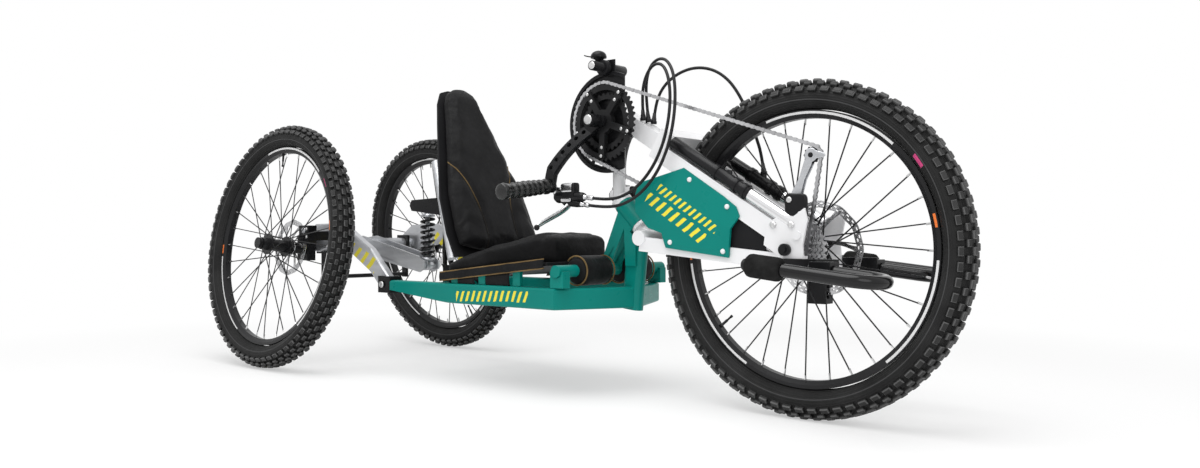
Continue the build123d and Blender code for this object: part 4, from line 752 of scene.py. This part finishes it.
def belt_line(rounds):
    """Evenly spaced points on a belt round circles taken clockwise: outer tangents joined by arcs."""
    line = []
    for before, here, after in zip(rounds[-1:] + rounds[:-1], rounds, rounds[1:] + rounds[:1]):
        x, z, r = here
        into, away = tangent_angle(before, here), tangent_angle(here, after)
        while away > into:
            away -= 2 * math.pi
        t = np.linspace(into, away, 60)
        line.append(joined(x + r * np.cos(t), z + r * np.sin(t)))
    line = np.concatenate(line + [line[0][:1]])
    length = np.concatenate([[0], np.cumsum(np.linalg.norm(np.diff(line, axis=0), axis=1))])
    links = int(round(length[-1] / PITCH / 2)) * 2
    at = np.linspace(0, length[-1], links, endpoint=False)
    return joined(np.interp(at, length, line[:, 0]), np.interp(at, length, line[:, 1]))


pins = belt_line(chain_rounds)
pin_index = np.arange(len(pins))[:, None]
forward = np.roll(pins, -1, axis=0) - pins
forward /= np.linalg.norm(forward, axis=1)[:, None]
normal = joined(-forward[:, 1], forward[:, 0])
lobe = np.radians(np.linspace(90, 270, 5))
lobe = PLATE_R * joined(np.cos(lobe), np.sin(lobe))
outline = np.concatenate([lobe, [(PITCH / 2, -PLATE_WAIST)], (PITCH, 0) - lobe, [(PITCH / 2, PLATE_WAIST)]])
corners = len(outline)
flat = pins[:, None] + outline[:, :1] * forward[:, None] + outline[:, 1:] * normal[:, None]
rim = band_faces(2, corners)
plates = []
plate_faces = []
for hand in (-1, 1):
    base = len(plates) * len(pins) * 2 * corners
    near = np.where(pin_index % 2, 0.0016, 0.0026) * hand + CHAIN_Y
    plates.append(np.concatenate([joined(flat[..., 0], level, flat[..., 1])
                                  for level in (near, near + hand * PLATE_T)], axis=1))
    walls = repeated(rim if hand > 0 else [f[::-1] for f in rim], len(pins), 2 * corners) + base
    caps = np.arange(corners) + 2 * corners * pin_index + base
    near_caps, far_caps = (caps[:, ::-1], caps) if hand > 0 else (caps, caps[:, ::-1])
    plate_faces += walls.tolist() + near_caps.tolist() + (far_caps + corners).tolist()
mount(solid("chain_plates", np.concatenate(plates), plate_faces, steel), "fork", "steel", "chain")
a = full_turn(ROLLER_SIDES)
barrel = pins[:, None] + ROLLER_R * joined(np.cos(a), np.sin(a))
roller_points = np.concatenate([joined(barrel[..., 0], CHAIN_Y + y, barrel[..., 1])
                                for y in (-ROLLER_HALF, ROLLER_HALF)], axis=1)
tube = [(a, d, c, b) for a, b, c, d in band_faces(2, ROLLER_SIDES)]
ends = np.arange(ROLLER_SIDES) + 2 * ROLLER_SIDES * pin_index
roller_faces = repeated(tube, len(pins), 2 * ROLLER_SIDES).tolist() + ends.tolist()
roller_faces += (ends[:, ::-1] + ROLLER_SIDES).tolist()
mount(solid("chain_rollers", roller_points, roller_faces, steel), "fork", "steel", "chain")


# Grips: waisted black rubber sleeves with rings of finger ridges and a flange at either end, moulded in one
# piece and pushed on the crank ends.
GRIP_TURN = math.radians(235)
CRANK_R = 0.182
GRIP_END = CRANK + (CRANK_R * math.cos(GRIP_TURN), 0.1323, CRANK_R * math.sin(GRIP_TURN))
RIDGE_STEP = 17
grip_rubber = finish("grip_rubber", (0.009, 0.009, 0.009), 0.27, tone=0.25, tone_scale=50, grain=0.12,
                     grain_scale=700, gloss=0.45)
along = np.linspace(4, 150, 90)
waist = np.interp(along, [0, 10, 18, 75, 130, 142, 150], [18.5, 18.5, 16, 17.8, 16, 19.5, 18])
ridge = 1.6 * np.sin((along - 24) * 2 * math.pi / RIDGE_STEP) * ((along > 24) & (along < 126))
grip_profile = np.concatenate([[(4, 12)], joined(along, waist + ridge), [(151.5, 14), (152, 6)]])
for hand, name in HANDS:
    grip = lathe("grip_" + name, GRIP_END * (1, hand, 1), (0, hand, -0.12), grip_profile, grip_rubber, steps=36)
    mount(grip, "crank", "foam", "grips")


# Controls: on each crank end a clamp, a black master cylinder with a silver cap and inset, a silver shifter
# pod, two hose ends with ferrules, and a bent alloy brake blade with a ball tip.
def blunt(value, power):
    """The value's size raised to a power, with its sign kept."""
    return np.sign(value) * np.abs(value) ** power


def pebble(name, centre, half, mat, corner=0.45):
    """A superellipsoid: each of the sphere's cosines and sines is raised to the corner's power."""
    u = np.linspace(-math.pi / 2 + 0.02, math.pi / 2 - 0.02, 21)[:, None]
    v = full_turn(32)
    points = joined(blunt(np.cos(u), corner) * blunt(np.cos(v), corner),
                    blunt(np.cos(u), corner) * blunt(np.sin(v), corner), blunt(np.sin(u), corner))
    return skin(name, np.asarray(centre) + points * np.asarray(half), mat, wrap_v=True, capped=True)


def along_line(points, count):
    """Points spread evenly over a few given ones by smooth interpolation of each coordinate."""
    points = np.asarray(points, float)
    share = np.linspace(0, 1, len(points))
    fit = np.polyfit(share, points, min(3, len(points) - 1))
    return np.stack([np.polyval(fit[:, k], np.linspace(0, 1, count)) for k in range(3)], -1)


def spread(count, places, values):
    """Values between given ones at even steps from 0 to 1."""
    return np.interp(np.linspace(0, 1, count), places, values)


CONTROL_Y = 0.1067
CONTROL_DEEP = 0.0108
CYLINDER_FACE = 0.0104
silver = finish("silver", (0.66, 0.66, 0.67), 0.22, metal=1.0, tone=0.08, grain=0.05, grain_scale=700)
clamp_profile = [(0, 11), (0.5, 13.5), (10.5, 13.5), (11, 11)]
cylinder_girth = spread(24, [0, 0.06, 0.5, 0.8, 0.94, 1], [0.010, 0.0145, 0.0150, 0.0115, 0.0108, 0.008])
cylinder_girth = joined(cylinder_girth, np.minimum(cylinder_girth, CONTROL_DEEP))
cable_girth = spread(16, [0, 0.1, 0.7, 1], [0.0065, 0.0090, 0.0085, 0.0060])
blade_wide = spread(40, [0, 0.2, 0.8, 1], [0.0082, 0.0068, 0.0054, 0.0042])
blade_girth = joined(blade_wide, blade_wide * 0.55)
for hand, name in HANDS:
    y = hand * CONTROL_Y
    face = y + hand * CYLINDER_FACE
    cylinder = along_line([(0.157, y, 0.4600), (0.200, y, 0.4605), (0.246, y, 0.4578)], 24)
    cable = along_line([(0.180, y, 0.4490), (0.210, y, 0.4450), (0.240, y, 0.4415)], 16)
    blade = along_line([(0.1985, y, 0.4440), (0.1950, y + hand * 0.016, 0.4290),
                        (0.1930, y + hand * 0.052, 0.4120), (0.1915, y + hand * 0.080, 0.4000),
                        (0.1912, y + hand * 0.101, 0.3880)], 40)
    parts = [
        (tube_along("master_cylinder_" + name, cylinder, cylinder_girth, black_metal, (0, 1, 0), steps=24),
         BLACK),
        (tube_along("shift_cable_body_" + name, cable, cable_girth, black_metal, (0, 1, 0), steps=20), BLACK),
        (pebble("shifter_pod_" + name, (0.1975, y, 0.4806), (0.0215, 0.0104, 0.0118), silver), SILVER),
        (pebble("pod_cover_" + name, (0.2165, y, 0.4790), (0.0052, 0.0108, 0.0132), black_metal), BLACK),
        (pebble("cylinder_inset_" + name, (0.196, face, 0.4520), (0.0155, 0.0013, 0.0040), silver), SILVER),
        (pebble("cylinder_lid_" + name, (0.202, face, 0.4645), (0.0180, 0.0012, 0.0052), web_black), BLACK),
        (lathe("clamp_ring_" + name, (0.1600, y - hand * 0.0105, 0.4712), (0, hand, 0), clamp_profile, silver),
         SILVER)]
    for end_name, end, begin in (("brake", (0.2716, y, 0.4549), (0.2400, y, 0.4586)),
                                 ("shift", (0.2596, y, 0.4389), (0.2340, y, 0.4426))):
        run = np.subtract(end, begin)
        reach = 1000 * np.linalg.norm(run)
        profile = [(0, 6.6), (6, 6.6), (6.6, 5.2), (16, 5.2), (17, 5.8), (reach - 4, 5.6), (reach - 1, 5),
                   (reach, 4.2)]
        parts.append((lathe("ferrule_" + end_name + "_" + name, begin, run, profile, silver, steps=18), SILVER))
    parts += [(tube_along("brake_blade_" + name, blade, blade_girth, silver, (1, 0, 0), steps=16), SILVER),
              (pebble("blade_tip_" + name, blade[-1], np.full(3, 0.0066), black_metal, corner=1.0), BLACK)]
    for piece, slot_name in parts:
        mount(piece, "crank", slot_name, "control_levers")


# Derailleur: a black forged knuckle bolted on the right dropout, and a cage of two alloy plates that stands
# up from it and carries a toothed pulley for the chain.
PIN_XZ = np.array([0.754, 0.441])
PULLEY_XZ = np.array([0.791, 0.528])
PIN_LOBE_R = 0.0150
PULLEY_LOBE_R = 0.0140
cage_run = float(np.linalg.norm(PULLEY_XZ - PIN_XZ))
step = np.linspace(-0.0149, cage_run + 0.0139, 80)
cage_waist = np.interp(step, [-0.002, 0.012, 0.045, 0.080, 0.096], [0, 0.0105, 0.0062, 0.0088, 0])
pin_lobe = np.sqrt(np.clip(PIN_LOBE_R ** 2 - step ** 2, 0, None))
pulley_lobe = np.sqrt(np.clip(PULLEY_LOBE_R ** 2 - (step - cage_run) ** 2, 0, None))
cage_wide = np.maximum.reduce([pin_lobe, pulley_lobe, cage_waist])
cage_girth = joined(np.maximum(cage_wide, 0.0006), 0.0013)
cage_xz = PIN_XZ + step[:, None] / cage_run * (PULLEY_XZ - PIN_XZ)
for name, y in (("outer", -0.0572), ("inner", -0.0468)):
    line = joined(cage_xz[:, 0], y, cage_xz[:, 1])
    plate = tube_along("cage_plate_" + name, line, cage_girth, alloy, (0, 1, 0), steps=20)
    mount(plate, "fork", SILVER, "derailleur_cage")
tail_at = np.linspace(0, 1, 24)
tail_line = joined(0.788 + 0.034 * tail_at, -0.0573, 0.530 - 0.004 * tail_at)
tail_wide = 0.0108 - 0.0070 * tail_at
tail_wide[-3:] *= (0.9, 0.65, 0.2)
tail_girth = joined(tail_wide, 0.0011)
pulley_profile = [(-4.4, 4), (-4.4, 5.6), (-1.6, 6), (-1.6, 12), (-1, 16.5), (1, 16.5), (1.6, 12), (1.6, 6),
                  (4.4, 5.6), (4.4, 4)]
knuckle_profile = [(0, 7), (0, 11.5), (2, 13), (13, 13), (13.5, 10.8), (30, 10.8), (30.5, 7)]
gear_bolts_at = np.array([(0.754, -0.0755, 0.441), (0.778, -0.0757, 0.412)])
gear_parts = [
    (tube_along("cage_tail", tail_line, tail_girth, alloy, (0, 1, 0), steps=20), SILVER, "derailleur_cage"),
    (lathe("cage_pulley", (0.791, CHAIN_Y, 0.528), (0, 1, 0), pulley_profile, black_metal, steps=88, teeth=11,
           bite=0.08), BLACK, "derailleur_cage"),
    (lathe("gear_knuckle", gear_bolts_at[0], (0, 1, 0), knuckle_profile, black_metal), BLACK,
     "derailleur_body"),
    (pebble("gear_body", (0.766, -0.0688, 0.4255), (0.0235, 0.0072, 0.0275), black_metal, corner=0.4), BLACK,
     "derailleur_body"),
    (studs("gear_bolts", gear_bolts_at, (0, -1, 0), 0.0062, 0.003, nipple_silver), SILVER, "derailleur_body"),
    (studs("pulley_bolt", [(0.791, -0.0583, 0.528)], (0, -1, 0), 0.0052, 0.0022, black_metal), BLACK,
     "derailleur_cage")]
for piece, slot_name, node_name in gear_parts:
    mount(piece, "fork", slot_name, node_name)


# Bell: a black spun dome with a thumb lever, on a band clamped round the accessory bar, whose open end is
# closed by a silver plug.
BELL = np.array([0.239, -0.0503, 0.784])
BAR = np.array([0.255, -0.0503, 0.760])
dome_profile = [(0, 12), (0, 18.4), (1.5, 19), (5, 18.8), (9, 17.5), (12.5, 14.8), (15.5, 10), (17.2, 5),
                (17.6, 0.6)]
base_profile = [(-1, 12.5), (2, 12.5), (3, 9), (8, 8)]
band_profile = [(-7, 13), (-7, 17.2), (-6, 18), (6, 18), (7, 17.2), (7, 13)]
bell_post = along_line([BAR + (-0.009, 0, 0.010), BELL + (0, 0, -0.004)], 6)
bell_lever = along_line([(0.232, -0.060, 0.7865), (0.223, -0.066, 0.7875), (0.213, -0.070, 0.7905)], 14)
lever_girth = joined(np.linspace(0.0030, 0.0046, 14), 0.0014)
bell_parts = [
    lathe("bell_dome", BELL, (0, 0, 1), dome_profile, black_metal),
    lathe("bell_base", BELL, (0, 0, -1), base_profile, web_black),
    lathe("bell_band", BAR, (0, 1, 0), band_profile, web_black),
    tube_along("bell_post", bell_post, 0.0058, web_black, (0, 1, 0)),
    tube_along("bell_lever", bell_lever, lever_girth, black_metal, (0, 0, 1))]
for piece in bell_parts:
    mount(piece, "fork", BLACK, "bell")
bar_plug = studs("bar_plug", [(0.255, -0.0933, 0.760)], (0, -1, 0), 0.0092, 0.0022, nipple_silver)
mount(bar_plug, "fork", SILVER)


# Seat tray and backrest shell: thin moulded black plastic under the cushions; alloy tubes stiffen the
# back's edges.
moulded = finish("moulded_black", (0.012, 0.012, 0.013), 0.55, tone=0.2, grain=0.3, grain_scale=800, gloss=0.10)
dress(["seat_tray", "backrest_shell"], moulded, edge=1.5)
dress(["backrest_edge_tubes"], alloy)


# Cushions: black nylon over foam, sewn from panels with brown piping, laid on the tray and hung on the
# back shell. Each shell is blown up a little by cloth simulation, then its seams are pulled in.
WEAVE = 2 * math.pi / 0.0016


def cloth_finish(name, colour):
    """Plain weave: two crossing sine ridges on Object coordinates, over broad creases, with a soft sheen."""
    mat = finish(name, colour, 0.5, tone=0.30, tone_scale=16, grain=0.35, grain_scale=55, sheen=0.012,
                 gloss=0.09)
    x, y, z = object_xyz(mat.node_tree)
    warp = maths("SINE", maths("MULTIPLY", y, WEAVE))
    weft = maths("SINE", maths("MULTIPLY", maths("ADD", x, z), WEAVE))
    emboss(mat, maths("MULTIPLY", warp, weft), 0.25, 0.0004)
    mat.node_tree.nodes["grain"].inputs["Distance"].default_value = 0.004
    return mat


def point_array(mesh):
    """A mesh's points as rows of three."""
    points = np.empty(len(mesh.vertices) * 3)
    mesh.vertices.foreach_get("co", points)
    return points.reshape(-1, 3)


def stuffed(pad, swell, voxel=0.006):
    """Voxel remesh, then cloth with pressure inside; no point moves further than swell."""
    shrink = pad.modifiers.new("remesh", "REMESH")
    shrink.mode = "VOXEL"
    shrink.voxel_size = voxel
    fresh = bpy.data.meshes.new_from_object(pad.evaluated_get(bpy.context.evaluated_depsgraph_get()))
    pad.modifiers.clear()
    pad.data = fresh
    before = point_array(fresh)
    cloth = pad.modifiers.new("cloth", "CLOTH")
    cloth.settings.use_pressure = True
    cloth.settings.uniform_pressure_force = 4.0
    cloth.settings.effector_weights.gravity = 0.0
    cloth.settings.quality = 4
    cloth.settings.mass = 0.25
    cloth.point_cache.frame_start = 1
    cloth.point_cache.frame_end = CLOTH_FRAMES
    for step in range(1, CLOTH_FRAMES + 1):
        scene.frame_set(step)
    push = point_array(pad.evaluated_get(bpy.context.evaluated_depsgraph_get()).to_mesh()) - before
    pad.modifiers.clear()
    scene.frame_set(1)
    return before + push * np.minimum(1.0, swell / (np.linalg.norm(push, axis=1)[:, None] + 1e-9))


def set_points(pad, points, mat):
    """Writes the points back, smooths the shading and gives the pad its cloth."""
    pad.data.vertices.foreach_set("co", points.ravel())
    pad.data.polygons.foreach_set("use_smooth", np.ones(len(pad.data.polygons), bool))
    pad.data.materials.clear()
    pad.data.materials.append(mat)
    pad.data.update()
    finer = pad.modifiers.new("finer", "SUBSURF")
    finer.levels = 1
    finer.render_levels = 1


def seam_pull(flat, seam, depth, width):
    """How far each point sinks: depth times a bell curve of its distance from the seam's line."""
    a, b = seam[:-1], seam[1:]
    run = b - a
    t = np.clip(((flat[:, None] - a[None]) * run[None]).sum(-1) / (run ** 2).sum(-1)[None], 0, 1)
    near = np.linalg.norm(flat[:, None] - (a[None] + t[..., None] * run[None]), axis=-1).min(1)
    return depth * np.exp(-(near / width) ** 2)


def back_half(h):
    """Half width of the back at a height above its foot."""
    return np.interp(h, BACK_UP, BACK_HALF)


def tray_top(x):
    """Height of the tray's upper face."""
    return 0.262 + TRAY_SLOPE * (x + 0.165) + 0.0083


CLOTH_FRAMES = 20
PAD_SIDES = 72
BACK_LEAN = math.radians(22)
BACK_ORIGIN = np.array([-0.113, 0.0, 0.330])
BACK_AXES = np.array([[0, -1, 0], [-math.sin(BACK_LEAN), 0, math.cos(BACK_LEAN)],
                      [-math.cos(BACK_LEAN), 0, -math.sin(BACK_LEAN)]])
BACK_UP = np.array([0, 70, 170, 280, 380, 450, 485, 500]) / 1000
BACK_HALF = np.array([148, 155, 147, 117, 89, 68, 48, 20]) / 1000
BACK_T = 0.050
BACK_EDGE = 0.45
nylon = cloth_finish("nylon", (0.0085, 0.0085, 0.009))
piping_brown = cloth_finish("piping_brown", (0.17, 0.11, 0.045))
t = full_turn(PAD_SIDES)
h = 0.250 - 0.242 * np.cos(np.linspace(0.02, math.pi - 0.02, 60))[:, None]
ease = np.clip(np.minimum(h, 0.500 - h) / 0.03, 0.05, 1) ** 0.5
wide = (back_half(h) - 0.010) * np.clip(ease * 1.1, 0, 1)
local = joined(wide * blunt(np.cos(t), BACK_EDGE), h, 0.026 + 0.017 * ease * blunt(np.sin(t), BACK_EDGE))
back_pad = skin("back_pad", BACK_ORIGIN + local @ BACK_AXES, nylon, wrap_v=True, capped=True)
flat = (stuffed(back_pad, 0.008) - BACK_ORIGIN) @ BACK_AXES.T
front = flat[:, 2] < 0.025
half_seam = np.array([(150, 292), (122, 282), (97, 241), (75, 195), (58, 138), (51, 75), (53, 32),
                      (57, 0)]) / 1000
seams = {"right": half_seam, "left": half_seam * (-1, 1)}
for seam in seams.values():
    flat[:, 2] += np.where(front, seam_pull(flat[:, :2], seam, 0.006, 0.009), 0)
crease = 0.0012 * np.sin(flat[:, 1] * 90 + 5 * np.sin(flat[:, 0] * 21)) * np.cos(flat[:, 0] * 33)
flat[:, 2] = np.clip(flat[:, 2] + np.where(front, crease, 0), 0.0005, BACK_T - 0.0005)
flat[:, 0] = np.clip(flat[:, 0], -0.157, 0.157)
set_points(back_pad, BACK_ORIGIN + flat @ BACK_AXES, nylon)
mount(back_pad, "chassis", "fabric", "backrest_cushion")

THREAD_DARK_Z = 0.43
PIPING_R = 0.0017
back_thread = cloth_finish("back_thread", (0.014, 0.012, 0.010))
thread_z = object_xyz(back_thread.node_tree)[2]
overlay(back_thread, maths("MULTIPLY", maths("SUBTRACT", thread_z, THREAD_DARK_Z), 12.0), (0.15, 0.10, 0.042))
front_flat = flat[front]
for name, seam in seams.items():
    at = np.linspace(0, 1, 60)
    share = np.linspace(0, 1, len(seam))
    path = joined(np.interp(at, share, seam[:, 0]), np.interp(at, share, seam[:, 1]))
    path = path[(np.abs(path[:, 0]) < back_half(path[:, 1]) - 0.012) & (path[:, 1] > 0.014)]
    nearest = np.argmin(((front_flat[None, :, :2] - path[:, None]) ** 2).sum(-1), axis=1)
    depth = np.convolve(np.pad(front_flat[nearest, 2], 3, mode="edge"), np.ones(7) / 7, mode="valid")
    line = BACK_ORIGIN + np.column_stack([path, depth - 0.0006]) @ BACK_AXES
    mount(tube_along("back_seam_" + name, line, PIPING_R, back_thread, BACK_AXES[2]), "chassis", "fabric")

TRAY_SLOPE = 40 / 370
SEAT_EDGE = 0.28
x = -0.006 - 0.157 * np.cos(np.linspace(0.03, math.pi - 0.03, 56))[:, None]
ease = np.clip(np.minimum(x + 0.164, 0.152 - x) / 0.008, 0.1, 1) ** 0.4
half = np.interp(x, [-0.164, -0.017, 0.090, 0.160], [0.186, 0.186, 0.120, 0.094]) - 0.007
half *= np.clip(ease * 1.05, 0, 1)
top = np.interp(x, [-0.164, -0.156, 0.096, 0.136, 0.152], [0.300, 0.308, 0.378, 0.376, 0.362]) - 0.004
middle = (top + tray_top(x)) / 2
tall = (top - tray_top(x)) / 2 * ease - 0.001
grid = joined(x, half * blunt(np.cos(t), SEAT_EDGE), middle + tall * blunt(np.sin(t), SEAT_EDGE))
seat_pad = skin("seat_pad", grid[:, ::-1], nylon, wrap_v=True, capped=True)
points = stuffed(seat_pad, 0.006)
upper = points[:, 2] > tray_top(points[:, 0]) + 0.02
cross_seam = np.array([(0.104, -0.25), (0.104, 0.25)])
points[:, 2] -= np.where(upper, seam_pull(points[:, :2], cross_seam, 0.005, 0.007), 0)
points[:, 2] += np.where(upper, 0.001 * np.sin(points[:, 0] * 70 + 4 * np.sin(points[:, 1] * 25)), 0)
points[:, 2] = np.maximum(points[:, 2], tray_top(points[:, 0]) + 0.0004)
set_points(seat_pad, points, nylon)
mount(seat_pad, "chassis", "fabric", "seat_cushion")

RAIL_TOP = 0.2525
BAND_Y = 0.1912
BAND_T = 0.0012
PIPING_Y = 0.1921
STRAP_Y = 0.1868
STRAP_T = 0.0018
edge_x = np.linspace(-0.163, 0.198, 60)[:, None]
drop = np.linspace(0.0075, -0.0125, 9)
puff = BAND_Y + 0.0022 * np.cos(np.linspace(-1.3, 1.3, 9))
fold = 0.0007 * np.sin(edge_x * 95) * np.sin(edge_x * 23)
strap_rise = np.linspace(0, 1, 8)
strap_y = STRAP_Y + 0.003 * np.sin(strap_rise * math.pi)
for hand, name in HANDS:
    band_grid = joined(edge_x, hand * (puff + fold), tray_top(edge_x) + drop)
    band = skin("seat_band_" + name, band_grid[:, ::-hand], nylon)
    thicken(band, BAND_T)
    mount(band, "chassis", "fabric")
    for place_name, rise in (("upper", 0.0078), ("lower", -0.0128)):
        line = joined(edge_x, hand * PIPING_Y, tray_top(edge_x) + rise)[:, 0]
        cord = tube_along("seat_piping_" + place_name + "_" + name, line, PIPING_R, piping_brown, (0, 0, 1))
        mount(cord, "chassis", "fabric")
    for strap_name, x0, x1 in (("rear", -0.097, -0.037), ("front", 0.004, 0.084)):
        strap_x = np.linspace(x0, x1, 12)[:, None]
        hang = tray_top(strap_x) - 0.0125 - RAIL_TOP
        strap_grid = joined(strap_x, hand * strap_y, RAIL_TOP + hang * strap_rise)
        strap = skin("seat_strap_" + strap_name + "_" + name, strap_grid[:, ::hand], nylon)
        thicken(strap, STRAP_T)
        mount(strap, "chassis", "fabric")

ROLL_X = 0.235
ROLL_Z = 0.290
ROLL_R = 0.0345
PIPING_TURN_R = 0.0335
a = full_turn(48)
reach = np.linspace(0.0232, 0.1278, 34)[:, None]
fat = ROLL_R * (1 - np.abs((reach - 0.0755) / 0.0525) ** 9 * 0.35) + 0.0002 * np.sin(reach * 140)
fat = fat * (1 + 0.008 * np.sin(a * 3 + 2) * np.sin(reach * 45))
piping_turn = np.radians(np.linspace(-140, 140, 40))
for hand, name in HANDS:
    roll_grid = joined(np.maximum(ROLL_X + fat * np.cos(a), 0.2062), hand * reach, ROLL_Z + fat * np.sin(a))
    roll = skin("leg_roll_pad_" + name, roll_grid[:, ::-hand], nylon, wrap_v=True, capped=True)
    mount(roll, "chassis", "fabric", "leg_roll")
    for place_name, place_y in (("inner", 0.0275), ("outer", 0.1235)):
        line = joined(np.maximum(ROLL_X + PIPING_TURN_R * np.cos(piping_turn), 0.207), hand * place_y,
                      ROLL_Z + PIPING_TURN_R * np.sin(piping_turn))
        cord = tube_along("roll_piping_" + place_name + "_" + name, line, 0.0018, piping_brown, (0, 1, 0))
        mount(cord, "chassis", "fabric")


# Studio: a pale seamless paper floor that fades into a white surround, lit by one soft overhead lamp with a
# weak front fill.
paper = bpy.data.materials.new("paper")
paper.use_nodes = True
tree = paper.node_tree
shader = tree.nodes["Principled BSDF"]
shader.inputs["Base Color"].default_value = (0.93, 0.93, 0.93, 1)
shader.inputs["Roughness"].default_value = 0.9
floor_points = 30.0 * np.array([(-1, -1, 0), (1, -1, 0), (1, 1, 0), (-1, 1, 0)])
floor = solid("floor", floor_points, [(0, 1, 2, 3)], paper)
x, y, z = object_xyz(tree)
fade = add_node(tree, "MapRange", Value=distance(x, y), From_Min=1.1, From_Max=2.4, To_Min=0.45)
fade.interpolation_type = "SMOOTHSTEP"
seen = maths("MULTIPLY", fade.outputs["Result"], add_node(tree, "LightPath").outputs["Is Camera Ray"])
mix = add_node(tree, "MixShader", Fac=seen)
tree.links.new(shader.outputs["BSDF"], mix.inputs[1])
tree.links.new(add_node(tree, "Emission").outputs["Emission"], mix.inputs[2])
tree.links.new(mix.outputs["Shader"], tree.nodes["Material Output"].inputs["Surface"])

world = bpy.data.worlds.new("surround")
world.use_nodes = True
scene.world = world
tree = world.node_tree
ray = add_node(tree, "LightPath").outputs
plain = maths("MAXIMUM", ray["Is Camera Ray"],
              maths("MAXIMUM", ray["Is Glossy Ray"], ray["Is Transmission Ray"]))
strength = add_node(tree, "MapRange", Value=plain, To_Min=0.62, To_Max=1.0)
tree.links.new(strength.outputs["Result"], tree.nodes["Background"].inputs["Strength"])
tree.nodes["Background"].inputs["Color"].default_value = (1, 1, 1, 1)

for name, at, size, power, turn in (("top_lamp", (0.2, -0.9, 2.9), 2.6, 62, (17, 0, 0)),
                                    ("front_lamp", (2.6, -1.6, 1.5), 1.8, 16, (66, 0, 58))):
    lamp_data = bpy.data.lights.new(name, "AREA")
    lamp_data.shape = "DISK"
    lamp_data.size = size
    lamp_data.energy = power
    lamp = bpy.data.objects.new(name, lamp_data)
    lamp.location = at
    lamp.rotation_euler = np.radians(turn)
    scene.collection.objects.link(lamp)

scene.view_settings.view_transform = "Standard"
